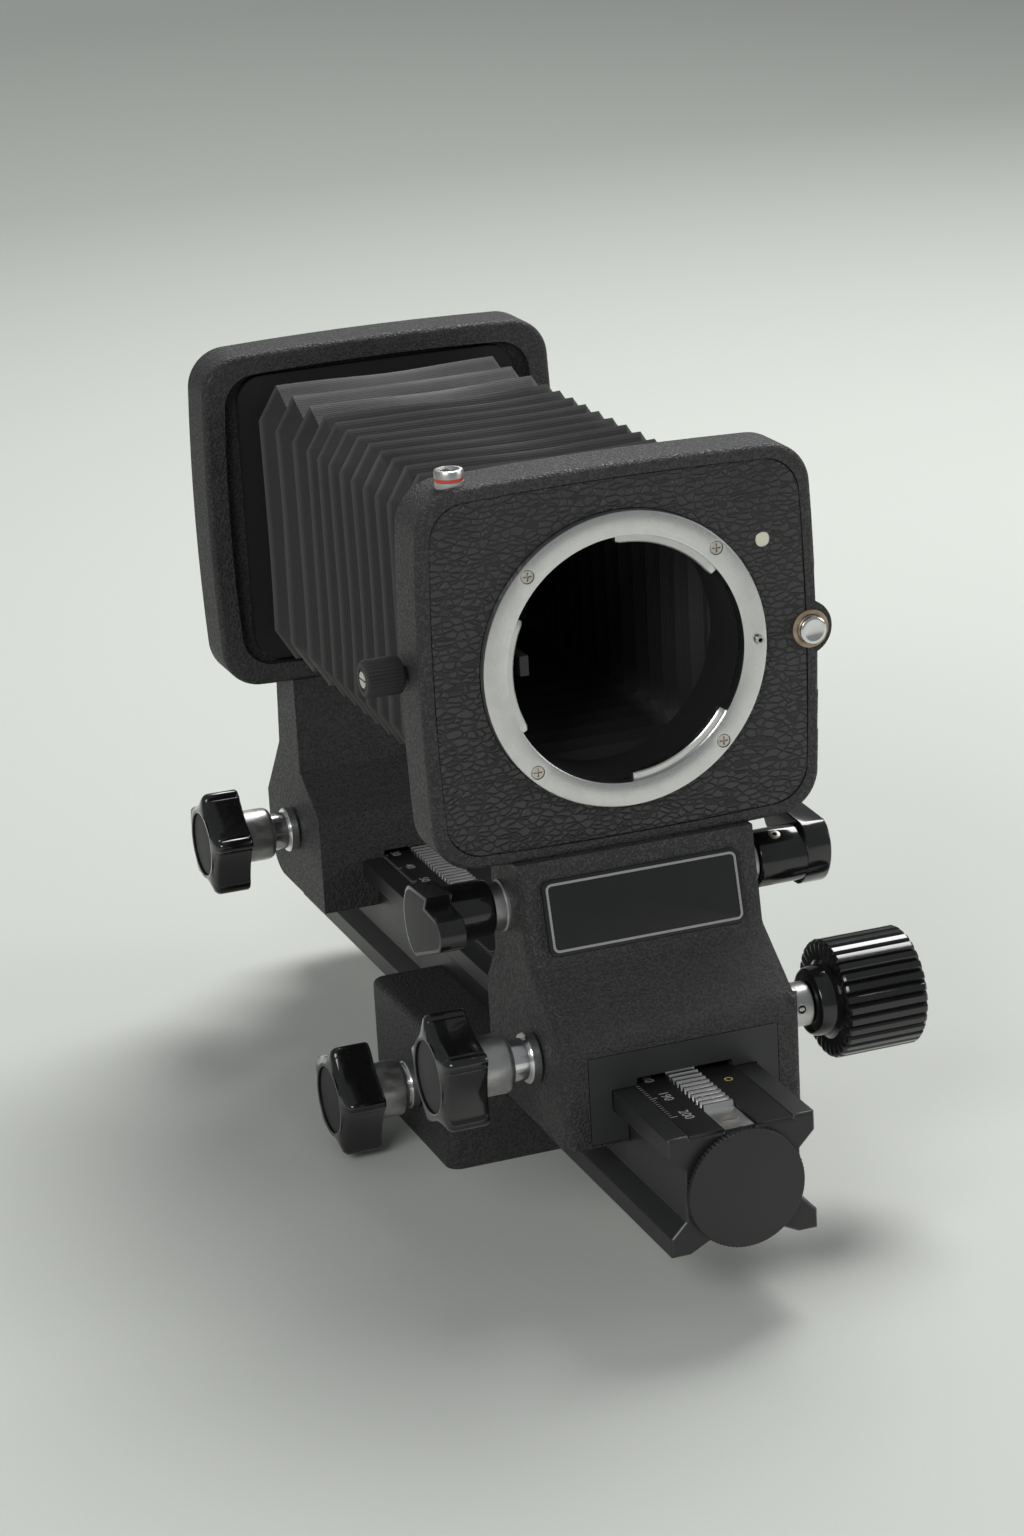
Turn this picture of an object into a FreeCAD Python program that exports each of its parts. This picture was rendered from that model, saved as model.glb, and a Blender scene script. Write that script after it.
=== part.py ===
import FreeCAD, Part

import math
import os

import Sketcher

V = FreeCAD.Vector

# Driving dimensions in millimetres
SIZES = {
    # Running and seating clearances
    "slide_gap": 0.06,
    "bore_gap": 0.04,
    "seat_gap": 0.15,
    "knob_gap": 0.25,
    "soft_gap": 0.3,
    # Rail, a double dovetail bar
    "rail_long": 230.0,
    "rail_half": 15.4,
    "rail_high": 24.7,
    "rail_base": 15.5,
    "flange_side": 4.0,
    "dovetail_in": 3.2,
    "foot_half": 11.4,
    "channel_half": 7.4,
    "channel_deep": 2.0,
    "scale_half": 10.8,
    "scale_seat": 0.6,
    "scale_joint": 0.25,
    "rack_half": 3.15,
    "rack_seat": 1.6,
    "rail_chamfer": 0.4,
    # Rack and pinion
    "gear_module": 0.6,
    "pinion_teeth": 12,
    "rack_tip": 0.42,
    "pinion_tip": 0.5,
    "gear_root": 0.75,
    "gear_backlash": 0.15,
    "pressure_angle": 20.0,
    "low_rack_inset": 1.0,
    "rack_margin": 1.0,
    "rack_plain": 8.3,
    "rack_screw_r": 1.9,
    # Turned ends of the rail
    "end_disc_r": 12.2,
    "end_disc_thick": 1.9,
    "end_screw_r": 3.0,
    "end_screw_deep": 6.0,
    # Focusing stage
    "stage_half_x": 28.5,
    "stage_half_y": 24.0,
    "stage_high": 28.0,
    "stage_round": 3.0,
    "stage_axis_y": -4.0,
    "bush_r": 7.0,
    "bush_long": 7.0,
    "tripod_r": 3.175,
    "gib_thick": 1.4,
    "gib_inset": 2.0,
    # Lens standard
    "lens_axis_z": 120.7,
    "flange_ahead": 67.5,
    "ring_proud": 1.9,
    "panel_thick": 13.1,
    "panel_half_x": 42.2,
    "panel_half_z": 39.1,
    "side_bow": 1.3,
    "top_bow": 1.0,
    "panel_corner": 9.0,
    "panel_rim": 1.3,
    "leather_half_x": 39.45,
    "leather_half_z": 36.3,
    "leather_corner": 7.5,
    "leather_thick": 0.9,
    "neck_half": 25.5,
    "neck_top": 82.2,
    "neck_ahead": 0.5,
    "plate_mid_z": 71.27,
    "plate_ahead": 2.7,
    "plate_lean": 0.2456,
    "plate_half_x": 21.2,
    "plate_tall": 15.2,
    "plate_thick": 0.8,
    "plate_corner": 1.5,
    "brow_z": 79.0,
    "chin_z": 63.4,
    "base_ahead": 20.3,
    "crease_z": 51.7,
    "base_z": 28.9,
    "base_behind": 21.0,
    "base_shoulder": 52.0,
    "base_waist": 60.0,
    "casting_round": 2.2,
    "cover_half": 20.24,
    "cover_top": 47.7,
    "cover_low": 29.5,
    "cover_thick": 1.5,
    "tunnel_half": 10.2,
    "tunnel_rise": 1.55,
    # Lens mount
    "ring_r": 30.0,
    "ring_bore": 25.0,
    "lug_bore": 23.5,
    "lug_back": 0.8,
    "lug_thick": 1.8,
    "lug_angle": 55.0,
    "lug_first": 37.3,
    "lug_second": 152.6,
    "lug_third": 271.4,
    "ring_thick": 3.0,
    "ring_screw_r": 1.35,
    "ring_screw_at": 28.04,
    "ring_screw_sink": 0.15,
    "tube_r": 26.6,
    "tube_wall": 1.4,
    "dot_x": 30.5,
    "dot_z": 19.6,
    "dot_r": 1.5,
    "dot_proud": 0.1,
    # Lens release
    "pin_x": 28.04,
    "pin_r": 0.8,
    "pin_proud": 1.1,
    "button_x": 40.2,
    "button_z": -0.16,
    "button_r": 2.9,
    "button_proud": 1.5,
    "collar_r": 3.9,
    "collar_proud": 0.5,
    "boss_r": 5.7,
    "boss_x": 39.3,
    "release_arm_y": 7.0,
    "release_arm_thick": 1.6,
    "release_arm_half": 1.8,
    "release_travel": 1.6,
    # Stop-down linkage
    "stop_y": 11.0,
    "stop_z": 1.2,
    "stop_shaft_r": 1.4,
    "stop_end": 19.4,
    "stop_tab_thick": 1.8,
    "stop_tab_tall": 4.0,
    "stop_tab_reach": 3.2,
    "stop_crank_half": 1.1,
    "stop_crank_thick": 1.6,
    "stop_knob_r": 3.8,
    "stop_knob_in": 43.2,
    "stop_knob_out": 51.0,
    "stop_crank_room": 3.4,
    "socket_x": 32.3,
    "socket_y": 6.5,
    "socket_r": 2.9,
    "socket_root": 36.0,
    "socket_top": 41.6,
    "socket_bore": 1.7,
    "plunger_r": 0.9,
    "plunger_tip": 0.45,
    "plunger_tip_long": 2.0,
    "plunger_below": 6.2,
    # Knob sets on the standards and the stage
    "drive_z": 44.0,
    "drive_behind": 5.0,
    "shaft_r": 2.4,
    "shaft_left": 12.0,
    "pinion_half": 3.1,
    "pinion_room": 0.5,
    "bush_in": 16.0,
    "bush_bore": 4.3,
    "bush_flange_r": 4.6,
    "bush_proud": 8.0,
    "stage_bush_proud": 5.0,
    "hub_r": 7.0,
    "hub_long": 3.85,
    "knob_r": 12.3,
    "knob_long": 17.7,
    "knob_ribs": 32,
    "knob_rib_deep": 0.85,
    "knob_rib_flat": 0.4,
    "knob_rib_slope": 0.22,
    "knob_edge": 0.9,
    "brake_long": 2.4,
    "lock_neck_r": 4.6,
    "lock_neck_long": 6.75,
    "stage_neck_long": 3.75,
    "lock_collar_r": 6.1,
    "lock_collar_long": 6.4,
    "lock_knob_long": 9.4,
    "lobe_count": 5,
    "lobe_reach": 12.4,
    "lobe_r": 1.5,
    "lobe_waist": 9.5,
    "front_lobe_turn": 30.0,
    "rear_lobe_turn": 12.0,
    "stage_lobe_turn": 10.0,
    "lock_edge": 1.1,
    "cap_r": 7.2,
    "cap_sink": 0.5,
    "cap_thick": 1.2,
    # Clamp levers at the neck
    "clamp_ahead": -9.5,
    "clamp_z": 71.2,
    "clamp_collar_r": 5.0,
    "clamp_collar_long": 3.0,
    "clamp_r": 5.9,
    "clamp_long": 15.65,
    "clamp_lever_thick": 5.6,
    "clamp_lever_r": 7.4,
    "clamp_lever_reach": 16.4,
    "clamp_tip_r": 3.6,
    "clamp_step": 9.0,
    "left_lever_turn": 4.0,
    "right_lever_turn": 160.0,
    "clamp_spindle_r": 2.5,
    "clamp_spindle_deep": 9.5,
    # Camera standard
    "rear_plane": 76.0,
    "dish_half_x": 37.4,
    "dish_half_z": 34.5,
    "dish_deep": 3.5,
    "rear_front": 64.0,
    "rear_back": 103.5,
    "rear_flare_z": 48.0,
    "rear_nape": 91.0,
    "rear_round": 9.0,
    "rear_drive_y": 83.5,
    "journal_r": 24.0,
    "journal_long": 6.0,
    "mount_flange_r": 29.0,
    "mount_flange_thick": 4.0,
    "male_r": 21.8,
    "male_bore": 19.5,
    "male_long": 5.0,
    "male_lug_r": 23.3,
    "male_lug_thick": 1.5,
    "turn_knob_r": 3.8,
    "turn_tip_gap": 0.4,
    "turn_knob_out": 51.0,
    "turn_screw_r": 1.4,
    # Bellows
    "frame_thick": 2.2,
    "frame_room": 1.5,
    "frame_corner": 6.0,
    "frame_bore": 25.2,
    "bellows_half_x": 30.4,
    "bellows_half_z": 31.8,
    "bellows_cut_x": 4.6,
    "bellows_cut_z": 7.4,
    "pleat_deep": 5.5,
    "bellows_wall": 0.8,
    "wide_pleats": 3,
    "wide_pitch": 12.1,
    "narrow_pleats": 12,
}


class Size:
    """A length known both as a number and as the sheet formula behind it."""

    def __init__(self, value, text):
        self.value = float(value)
        self.text = text

    def __float__(self):
        return self.value

    def __add__(self, other):
        return combined(self, other, "+", self.value + float(other))

    def __radd__(self, other):
        return combined(other, self, "+", self.value + float(other))

    def __sub__(self, other):
        return combined(self, other, "-", self.value - float(other))

    def __rsub__(self, other):
        return combined(other, self, "-", float(other) - self.value)

    def __mul__(self, other):
        return combined(self, other, "*", self.value * float(other))

    def __rmul__(self, other):
        return combined(other, self, "*", self.value * float(other))

    def __truediv__(self, other):
        return combined(self, other, "/", self.value / float(other))

    def __neg__(self):
        return Size(-self.value, f"(-1 * {self.text})")


def sized(number):
    """A Size for a number or a Size."""
    if isinstance(number, Size):
        return number
    return Size(number, f"({float(number)!r})")


def combined(left, right, sign, value):
    """The Size of a sum, difference, product or quotient."""
    return Size(value, f"({sized(left).text} {sign} {sized(right).text})")


class Dimensions:
    """The sheet's cells by their names."""

    def __getattr__(self, name):
        return Size(SIZES[name], f"Dim.{name}")


doc = FreeCAD.newDocument("macro_bellows_unit")
sheet = doc.addObject("Spreadsheet::Sheet", "Dim")
for row, (name, number) in enumerate(SIZES.items(), start=1):
    sheet.set(f"A{row}", name)
    sheet.set(f"B{row}", str(number))
    sheet.setAlias(f"B{row}", name)
doc.recompute()

dim = Dimensions()
nodes = []

TURN = {
    "X": FreeCAD.Rotation(V(0, 1, 0), 90),
    "Y": FreeCAD.Rotation(V(1, 0, 0), -90),
    "Z": FreeCAD.Rotation(),
    "-X": FreeCAD.Rotation(V(0, 1, 0), -90),
    "-Y": FreeCAD.Rotation(V(1, 0, 0), 90),
    "-Z": FreeCAD.Rotation(V(1, 0, 0), 180),
}


# Feature helpers
def place(item, point, rotation=None):
    """Put a feature at a point whose coordinates are bound to the sheet."""
    base = V(*[float(value) for value in point])
    item.Placement = FreeCAD.Placement(base, rotation or FreeCAD.Rotation())
    for letter, value in zip("xyz", point):
        if isinstance(value, Size):
            item.setExpression(f"Placement.Base.{letter}", value.text)
    return item


def bound(kind, name, **sizes):
    """A primitive whose properties are bound to the sheet."""
    item = doc.addObject(kind, name)
    for key, value in sizes.items():
        item.setExpression(key, sized(value).text)
    return item


def block(name, low, high):
    """A box between two corners."""
    spans = [upper - lower for lower, upper in zip(low, high)]
    item = bound("Part::Box", name, Length=spans[0], Width=spans[1], Height=spans[2])
    return place(item, low)


def rod(name, axis, point, radius, length):
    """A round bar from a point along an axis."""
    item = bound("Part::Cylinder", name, Radius=radius, Height=length)
    return place(item, point, TURN[axis])


def taper(name, axis, point, first, second, length):
    """A cone between two radii from a point along an axis."""
    item = bound("Part::Cone", name, Radius1=first, Radius2=second, Height=length)
    return place(item, point, TURN[axis])


def sector(name, axis, point, radius, length, start, angle):
    """A wedge of a round bar that begins at an angle about its axis."""
    item = bound("Part::Cylinder", name, Radius=radius, Height=length, Angle=angle)
    turned = TURN[axis].multiply(FreeCAD.Rotation(V(0, 0, 1), float(start)))
    return place(item, point, turned)


def joined(name, *pieces):
    """Several touching solids made one."""
    item = doc.addObject("Part::MultiFuse", name)
    item.Shapes = list(pieces)
    item.Refine = True
    return item


def cut(name, base, *tools):
    """A solid less one or more tools."""
    item = doc.addObject("Part::Cut", name)
    item.Base = base
    item.Tool = tools[0] if len(tools) == 1 else joined(f"{name}_tools", *tools)
    return item


def tube(name, axis, point, outer, inner, length):
    """A round tube."""
    return cut(
        name,
        rod(f"{name}_outer", axis, point, outer, length),
        rod(f"{name}_inner", axis, point, inner, length),
    )


def group(name, *pieces):
    """Separate solids that share one node."""
    item = doc.addObject("Part::Compound", name)
    item.Links = list(pieces)
    return item


def formed(name, shape):
    """A solid whose form comes from a formula."""
    item = doc.addObject("Part::Feature", name)
    item.Shape = shape
    return item


def node(label, item):
    """Name a finished sub-part."""
    item.Label = label
    nodes.append(item)
    return item


# Sketch helpers
def sketch_on(body, name, role, offset=0):
    """An empty sketch on one of a body's own planes."""
    plane = next(item for item in body.Origin.OriginFeatures if item.Role == role)
    sketch = body.newObject("Sketcher::SketchObject", name)
    sketch.AttachmentSupport = (plane, [""])
    sketch.MapMode = "FlatFace"
    lift = FreeCAD.Placement(V(0, 0, float(offset)), FreeCAD.Rotation())
    sketch.AttachmentOffset = lift
    if isinstance(offset, Size):
        sketch.setExpression("AttachmentOffset.Base.z", offset.text)
    return sketch


def hold(sketch, held):
    """Add constraints, binding the value of each to its size."""
    first = sketch.ConstraintCount
    sketch.addConstraint([constraint for constraint, size in held])
    for index, (constraint, size) in enumerate(held, start=first):
        if size is not None:
            sketch.setExpression(f"Constraints[{index}]", sized(size).text)


def corner_holds(corners):
    """Constraints that close a run of edges and fix the start of each."""
    count = len(corners)
    held = []
    for index in range(count):
        following = (index + 1) % count
        held.append((Sketcher.Constraint("Coincident", index, 2, following, 1), None))
    for index, (across, along) in enumerate(corners):
        level = Sketcher.Constraint("DistanceX", -1, 1, index, 1, float(across))
        upright = Sketcher.Constraint("DistanceY", -1, 1, index, 1, float(along))
        held.append((level, across))
        held.append((upright, along))
    return held


def outline(body, name, role, corners, offset=0):
    """A closed outline of straight edges."""
    sketch = sketch_on(body, name, role, offset)
    points = [V(float(across), float(along), 0) for across, along in corners]
    edges = [Part.LineSegment(start, end) for start, end in zip(points, points[1:] + points[:1])]
    sketch.addGeometry(edges, False)
    hold(sketch, corner_holds(corners))
    return sketch


def bowed_outline(body, name, middle, half_x, half_z, offset):
    """A rectangle about the lens axis whose four sides bow outwards."""
    sketch = sketch_on(body, name, "XZ_Plane", offset)
    cheek = half_x - dim.side_bow
    brow = half_z - dim.top_bow
    side_radius = (brow * brow + dim.side_bow * dim.side_bow) / (2 * dim.side_bow)
    top_radius = (cheek * cheek + dim.top_bow * dim.top_bow) / (2 * dim.top_bow)
    corners = [
        (-cheek, middle - brow),
        (cheek, middle - brow),
        (cheek, middle + brow),
        (-cheek, middle + brow),
    ]
    height = float(middle)
    crowns = [
        V(0, height - float(half_z), 0),
        V(float(half_x), height, 0),
        V(0, height + float(half_z), 0),
        V(-float(half_x), height, 0),
    ]
    points = [V(float(across), float(along), 0) for across, along in corners]
    arcs = [
        Part.Arc(start, crown, end)
        for start, crown, end in zip(points, crowns, points[1:] + points[:1])
    ]
    sketch.addGeometry(arcs, False)
    held = corner_holds(corners)
    for index, radius in enumerate([top_radius, side_radius, top_radius, side_radius]):
        held.append((Sketcher.Constraint("Radius", index, float(radius)), radius))
    hold(sketch, held)
    return sketch


def new_body(name):
    """An empty body."""
    return doc.addObject("PartDesign::Body", name)


def pad(body, sketch, length, reverse=False, both=False):
    """Raise a sketch into a solid."""
    item = body.newObject("PartDesign::Pad", f"{sketch.Name}_pad")
    item.Profile = sketch
    item.setExpression("Length", sized(length).text)
    item.Reversed = reverse
    item.Midplane = both
    body.Tip = item
    doc.recompute()
    return item


def eased(body, kind, name, size, picks):
    """Fillet or chamfer the edges that a test picks."""
    base = body.Tip
    edges = [f"Edge{index}" for index, edge in enumerate(base.Shape.Edges, start=1) if picks(edge)]
    if not edges:
        raise ValueError(f"{name} finds no edge")
    item = body.newObject(f"PartDesign::{kind}", name)
    item.Base = (base, edges)
    item.setExpression("Radius" if kind == "Fillet" else "Size", sized(size).text)
    body.Tip = item
    doc.recompute()
    return item


def runs_along(edge, letter):
    """Whether an edge is straight and parallel to an axis."""
    if edge.Curve.TypeId != "Part::GeomLine":
        return False
    step = edge.Vertexes[-1].Point.sub(edge.Vertexes[0].Point)
    others = [abs(getattr(step, other)) for other in "xyz" if other != letter]
    return max(others) < 1e-6


def lies_at(edge, letter, place_at):
    """Whether both ends of an edge lie in a plane across an axis."""
    return all(abs(getattr(end.Point, letter) - float(place_at)) < 1e-4 for end in edge.Vertexes)


# Shared positions
lens_z = dim.lens_axis_z
rail_top = dim.rail_base + dim.rail_high
rail_mid = dim.rail_base + dim.rail_high / 2
waist_half = dim.rail_half - dim.dovetail_in
flange_y = -dim.flange_ahead
panel_y = flange_y + dim.ring_proud
panel_back = panel_y + dim.panel_thick
front_drive_y = flange_y - dim.drive_behind
pitch_r = dim.gear_module * dim.pinion_teeth / 2
upper_pitch_z = dim.drive_z - pitch_r
lower_pitch_z = dim.rail_base + dim.low_rack_inset
stage_axis_z = lower_pitch_z - pitch_r
rack_pitch = math.pi * float(dim.gear_module)


# Gear forms
def rack_shape(start, end, seat, pitch_z, outward):
    """A toothed strip along Y whose teeth stand outward from its seat."""
    tan = math.tan(math.radians(float(dim.pressure_angle)))
    tip = float(dim.rack_tip)
    root = float(dim.gear_root)
    half_tooth = rack_pitch / 4 - float(dim.gear_backlash) / 4
    low = start + float(dim.rack_plain)
    high = end - float(dim.rack_plain)
    first = math.ceil((low + rack_pitch / 2) / rack_pitch)
    last = math.floor((high - rack_pitch / 2) / rack_pitch)
    points = [(start, seat), (start, pitch_z - outward * root)]
    for index in range(first, last + 1):
        middle = index * rack_pitch
        foot = half_tooth + tan * root
        crest = half_tooth - tan * tip
        points.append((middle - foot, pitch_z - outward * root))
        points.append((middle - crest, pitch_z + outward * tip))
        points.append((middle + crest, pitch_z + outward * tip))
        points.append((middle + foot, pitch_z - outward * root))
    points.append((end, pitch_z - outward * root))
    points.append((end, seat))
    half = float(dim.rack_half) - float(dim.bore_gap)
    wire = Part.makePolygon([V(-half, along, up) for along, up in points + points[:1]])
    return Part.Face(wire).extrude(V(2 * half, 0, 0))


def involute(base_r, radius):
    """The polar angle that an involute has turned through at a radius."""
    reach = math.sqrt(max(radius * radius / (base_r * base_r) - 1, 0))
    return reach - math.atan(reach)


def pinion_shape(axis_y, axis_z, side):
    """A pinion about an X axis, with a tooth gap on the rack tooth beside it."""
    teeth = int(round(float(dim.pinion_teeth)))
    pitch = float(pitch_r)
    base_r = pitch * math.cos(math.radians(float(dim.pressure_angle)))
    root_r = pitch - float(dim.gear_root)
    tip_r = pitch + float(dim.pinion_tip)
    half_tooth = math.pi / (2 * teeth) - float(dim.gear_backlash) / (4 * pitch)
    at_pitch = involute(base_r, pitch)
    nearest = round(axis_y / rack_pitch) * rack_pitch - axis_y
    flank = [root_r] + [base_r + (tip_r - base_r) * step / 3 for step in range(4)]
    gap = nearest / pitch
    points = []
    for index in range(teeth):
        middle = gap + (index + 0.5) * 2 * math.pi / teeth
        spreads = [half_tooth + at_pitch - involute(base_r, max(radius, base_r)) for radius in flank]
        rising = [(radius, middle - spread) for radius, spread in zip(flank, spreads)]
        falling = [(radius, middle + spread) for radius, spread in zip(flank, spreads)]
        for radius, angle in rising + falling[::-1]:
            points.append((axis_y + radius * math.sin(angle), axis_z + side * radius * math.cos(angle)))
    half = float(dim.pinion_half)
    wire = Part.makePolygon([V(-half, along, up) for along, up in points + points[:1]])
    return Part.Face(wire).extrude(V(2 * half, 0, 0))


# Rail
def mirrored(points):
    """Corners on the right, followed by their mirror images in reverse."""
    return points + [(-across, along) for across, along in reversed(points)]


rail_body = new_body("rail_body")
rack_floor = rail_top - dim.rack_seat
low_floor = dim.rail_base + dim.channel_deep
low_seat = lower_pitch_z + dim.gear_root + dim.rack_seat
rail_side = [
    (dim.rack_half, low_seat),
    (dim.rack_half, low_floor),
    (dim.channel_half, low_floor),
    (dim.foot_half, dim.rail_base),
    (dim.rail_half, dim.rail_base),
    (dim.rail_half, dim.rail_base + dim.flange_side),
    (waist_half, dim.rail_base + dim.flange_side + dim.dovetail_in),
    (waist_half, rail_top - dim.flange_side - dim.dovetail_in),
    (dim.rail_half, rail_top - dim.flange_side),
    (dim.rail_half, rail_top),
    (dim.scale_half + dim.slide_gap, rail_top),
    (dim.scale_half + dim.slide_gap, rail_top - dim.scale_seat),
    (dim.rack_half, rail_top - dim.scale_seat),
    (dim.rack_half, rack_floor),
]
rail_sketch = outline(rail_body, "rail_outline", "XZ_Plane", mirrored(rail_side))
pad(rail_body, rail_sketch, dim.rail_long, both=True)
rail_end = dim.rail_long / 2


def is_rail_rim(edge):
    """An edge round the outside of the rail's end faces."""
    ends = lies_at(edge, "y", rail_end) or lies_at(edge, "y", -rail_end)
    outside = all(
        abs(abs(end.Point.x) - float(dim.rail_half)) < 1e-4
        or (float(dim.foot_half) - 1e-4 < abs(end.Point.x) and end.Point.z < float(rail_mid))
        for end in edge.Vertexes
    )
    return ends and outside


eased(rail_body, "Chamfer", "rail_ends", dim.rail_chamfer, is_rail_rim)
end_holes = [
    rod("front_end_hole", "Y", (0, -rail_end, rail_mid), dim.end_screw_r + dim.bore_gap,
        dim.end_screw_deep + dim.bore_gap),
    rod("rear_end_hole", "-Y", (0, rail_end, rail_mid), dim.end_screw_r + dim.bore_gap,
        dim.end_screw_deep + dim.bore_gap),
]
screw_y = rail_end - dim.rack_margin - dim.rack_plain / 2
screw_sites = [(-screw_y, "front"), (screw_y, "rear")]
screw_floor = rack_floor - dim.rack_screw_r
screw_holes = [
    rod(f"{end}_rack_hole", "Z", (0, along, screw_floor), dim.rack_screw_r / 2 + dim.bore_gap,
        dim.rack_screw_r)
    for along, end in screw_sites
]
node("rail", cut("rail_cut", rail_body, *end_holes, *screw_holes))

rack_start = float(-rail_end + dim.rack_margin)
rack_end = float(rail_end - dim.rack_margin)
plain_top = upper_pitch_z - dim.gear_root
upper_strip = formed(
    "upper_strip",
    rack_shape(rack_start, rack_end, float(rack_floor), float(upper_pitch_z), 1),
)
strip_holes = []
rack_screws = []
for along, end in screw_sites:
    hole_head = taper(f"{end}_strip_sink", "Z", (0, along, plain_top - dim.rack_screw_r / 2),
                      dim.rack_screw_r / 2 + dim.bore_gap, dim.rack_screw_r + dim.bore_gap,
                      dim.rack_screw_r / 2 + dim.bore_gap)
    hole_shank = rod(f"{end}_strip_hole", "Z", (0, along, rack_floor - dim.bore_gap),
                     dim.rack_screw_r / 2 + dim.bore_gap, dim.rack_screw_r)
    strip_holes.extend([hole_head, hole_shank])
    head = taper(f"{end}_screw_head", "Z", (0, along, plain_top - dim.rack_screw_r / 2),
                 dim.rack_screw_r / 2, dim.rack_screw_r, dim.rack_screw_r / 2)
    shank_long = plain_top - dim.rack_screw_r / 2 - screw_floor
    shank = rod(f"{end}_screw_shank", "Z", (0, along, screw_floor), dim.rack_screw_r / 2, shank_long)
    slot_half = dim.rack_screw_r / 8
    slot = block(f"{end}_screw_slot",
                 (-dim.rack_screw_r, along - slot_half, plain_top - dim.rack_screw_r / 4),
                 (dim.rack_screw_r, along + slot_half, plain_top + dim.rack_screw_r / 4))
    rack_screws.append(cut(f"{end}_rack_screw", joined(f"{end}_screw_blank", head, shank), slot))
node("upper_rack", cut("upper_rack_cut", upper_strip, *strip_holes))
node("rack_screws", group("rack_screw_pair", *rack_screws))
node("lower_rack", formed(
    "lower_strip",
    rack_shape(rack_start, rack_end, float(low_seat), float(lower_pitch_z), -1),
))

for label, side in (("left_scale_plate", -1), ("right_scale_plate", 1)):
    inner = dim.rack_half + dim.scale_joint
    low_x = inner if side > 0 else -dim.scale_half
    high_x = dim.scale_half if side > 0 else -inner
    node(label, block(
        f"{label}_strip",
        (low_x, -rail_end + dim.rail_chamfer, rail_top - dim.scale_seat),
        (high_x, rail_end - dim.rail_chamfer, rail_top),
    ))


def end_disc(label, side):
    """A thin turned disc with its screw, on one end of the rail."""
    axis = "Y" if side > 0 else "-Y"
    face = side * (rail_end + dim.seat_gap)
    disc = rod(f"{label}_rim", axis, (0, face, rail_mid), dim.end_disc_r, dim.end_disc_thick)
    inner_axis = "-Y" if side > 0 else "Y"
    screw = rod(f"{label}_screw", inner_axis, (0, face, rail_mid), dim.end_screw_r, dim.end_screw_deep)
    return node(label, joined(f"{label}_fused", disc, screw))


end_disc("front_end_disc", -1)
end_disc("rear_end_disc", 1)


# Tunnels that run on the rail
def upper_tunnel(name, gap, start, end):
    """The space round the rail's upper dovetail and its rack."""
    body = new_body(name)
    side = [
        (waist_half + gap, dim.base_z - 1),
        (waist_half + gap, rail_top - dim.flange_side - dim.dovetail_in),
        (dim.rail_half + gap, rail_top - dim.flange_side),
        (dim.rail_half + gap, rail_top + gap),
        (dim.tunnel_half + gap, rail_top + gap),
        (dim.tunnel_half - dim.slide_gap, rail_top + dim.tunnel_rise + gap),
    ]
    sketch = outline(body, f"{name}_outline", "XZ_Plane", mirrored(side), -start)
    pad(body, sketch, end - start, reverse=True)
    return body


def lower_tunnel(name, gap, start, end):
    """The space round the rail's lower dovetail."""
    body = new_body(name)
    side = [
        (dim.rail_half + gap, dim.rail_base - gap),
        (dim.rail_half + gap, dim.rail_base + dim.flange_side),
        (waist_half + gap, dim.rail_base + dim.flange_side + dim.dovetail_in),
        (waist_half + gap, dim.stage_high + 1),
    ]
    sketch = outline(body, f"{name}_outline", "XZ_Plane", mirrored(side), -start)
    pad(body, sketch, end - start, reverse=True)
    return body


# Knob sets
def drive_bores(name, along, up, wall):
    """The bores for a pinion shaft, its bush, the brake pad and the lock stem."""
    room = dim.pinion_half + dim.pinion_room
    return [
        rod(f"{name}_wide_bore", "X", (-room, along, up), dim.bush_bore + dim.bore_gap,
            wall + room + 1),
        rod(f"{name}_slim_bore", "-X", (0, along, up), dim.shaft_r + dim.bore_gap, wall + 1),
    ]


def polar(radius, angle):
    """A point at a radius and an angle about Z."""
    return V(radius * math.cos(angle), radius * math.sin(angle), 0)


def ribbed_outline():
    """A ring of flat-topped ribs with sloping flanks, as a closed wire about Z."""
    ribs = int(round(float(dim.knob_ribs)))
    step = 2 * math.pi / ribs
    crest = float(dim.knob_r)
    valley = crest - float(dim.knob_rib_deep)
    half_flat = float(dim.knob_rib_flat) / 2
    foot = half_flat + float(dim.knob_rib_slope)
    shares = [(-foot, valley), (-half_flat, crest), (half_flat, crest), (foot, valley)]
    points = []
    for index in range(ribs):
        for share, radius in shares:
            angle = (index + share) * step
            points.append(polar(radius, angle))
    return Part.makePolygon(points + points[:1])


def lobed_outline(first_turn):
    """Round lobes joined by hollow waists, as a closed wire about Z."""
    count = int(round(float(dim.lobe_count)))
    lobe = float(dim.lobe_r)
    waist = float(dim.lobe_waist)
    out = float(dim.lobe_reach) - lobe
    half = math.pi / count
    lean = math.cos(half)
    hollow = (lobe ** 2 - out ** 2 - waist ** 2 + 2 * out * waist * lean) / (2 * (waist - out * lean - lobe))
    far = waist + hollow
    arcs = []
    for index in range(count):
        turn = math.radians(first_turn) + index * 2 * half
        lobe_centre = polar(out, turn)
        next_centre = polar(out, turn + 2 * half)
        ahead = polar(far, turn + half)
        behind = polar(far, turn - half)
        start = lobe_centre.add(behind.sub(lobe_centre).normalize().multiply(lobe))
        end = lobe_centre.add(ahead.sub(lobe_centre).normalize().multiply(lobe))
        next_start = next_centre.add(ahead.sub(next_centre).normalize().multiply(lobe))
        arcs.append(Part.Arc(start, polar(out + lobe, turn), end).toShape())
        arcs.append(Part.Arc(end, polar(waist, turn + half), next_start).toShape())
    return Part.Wire(arcs)


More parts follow.
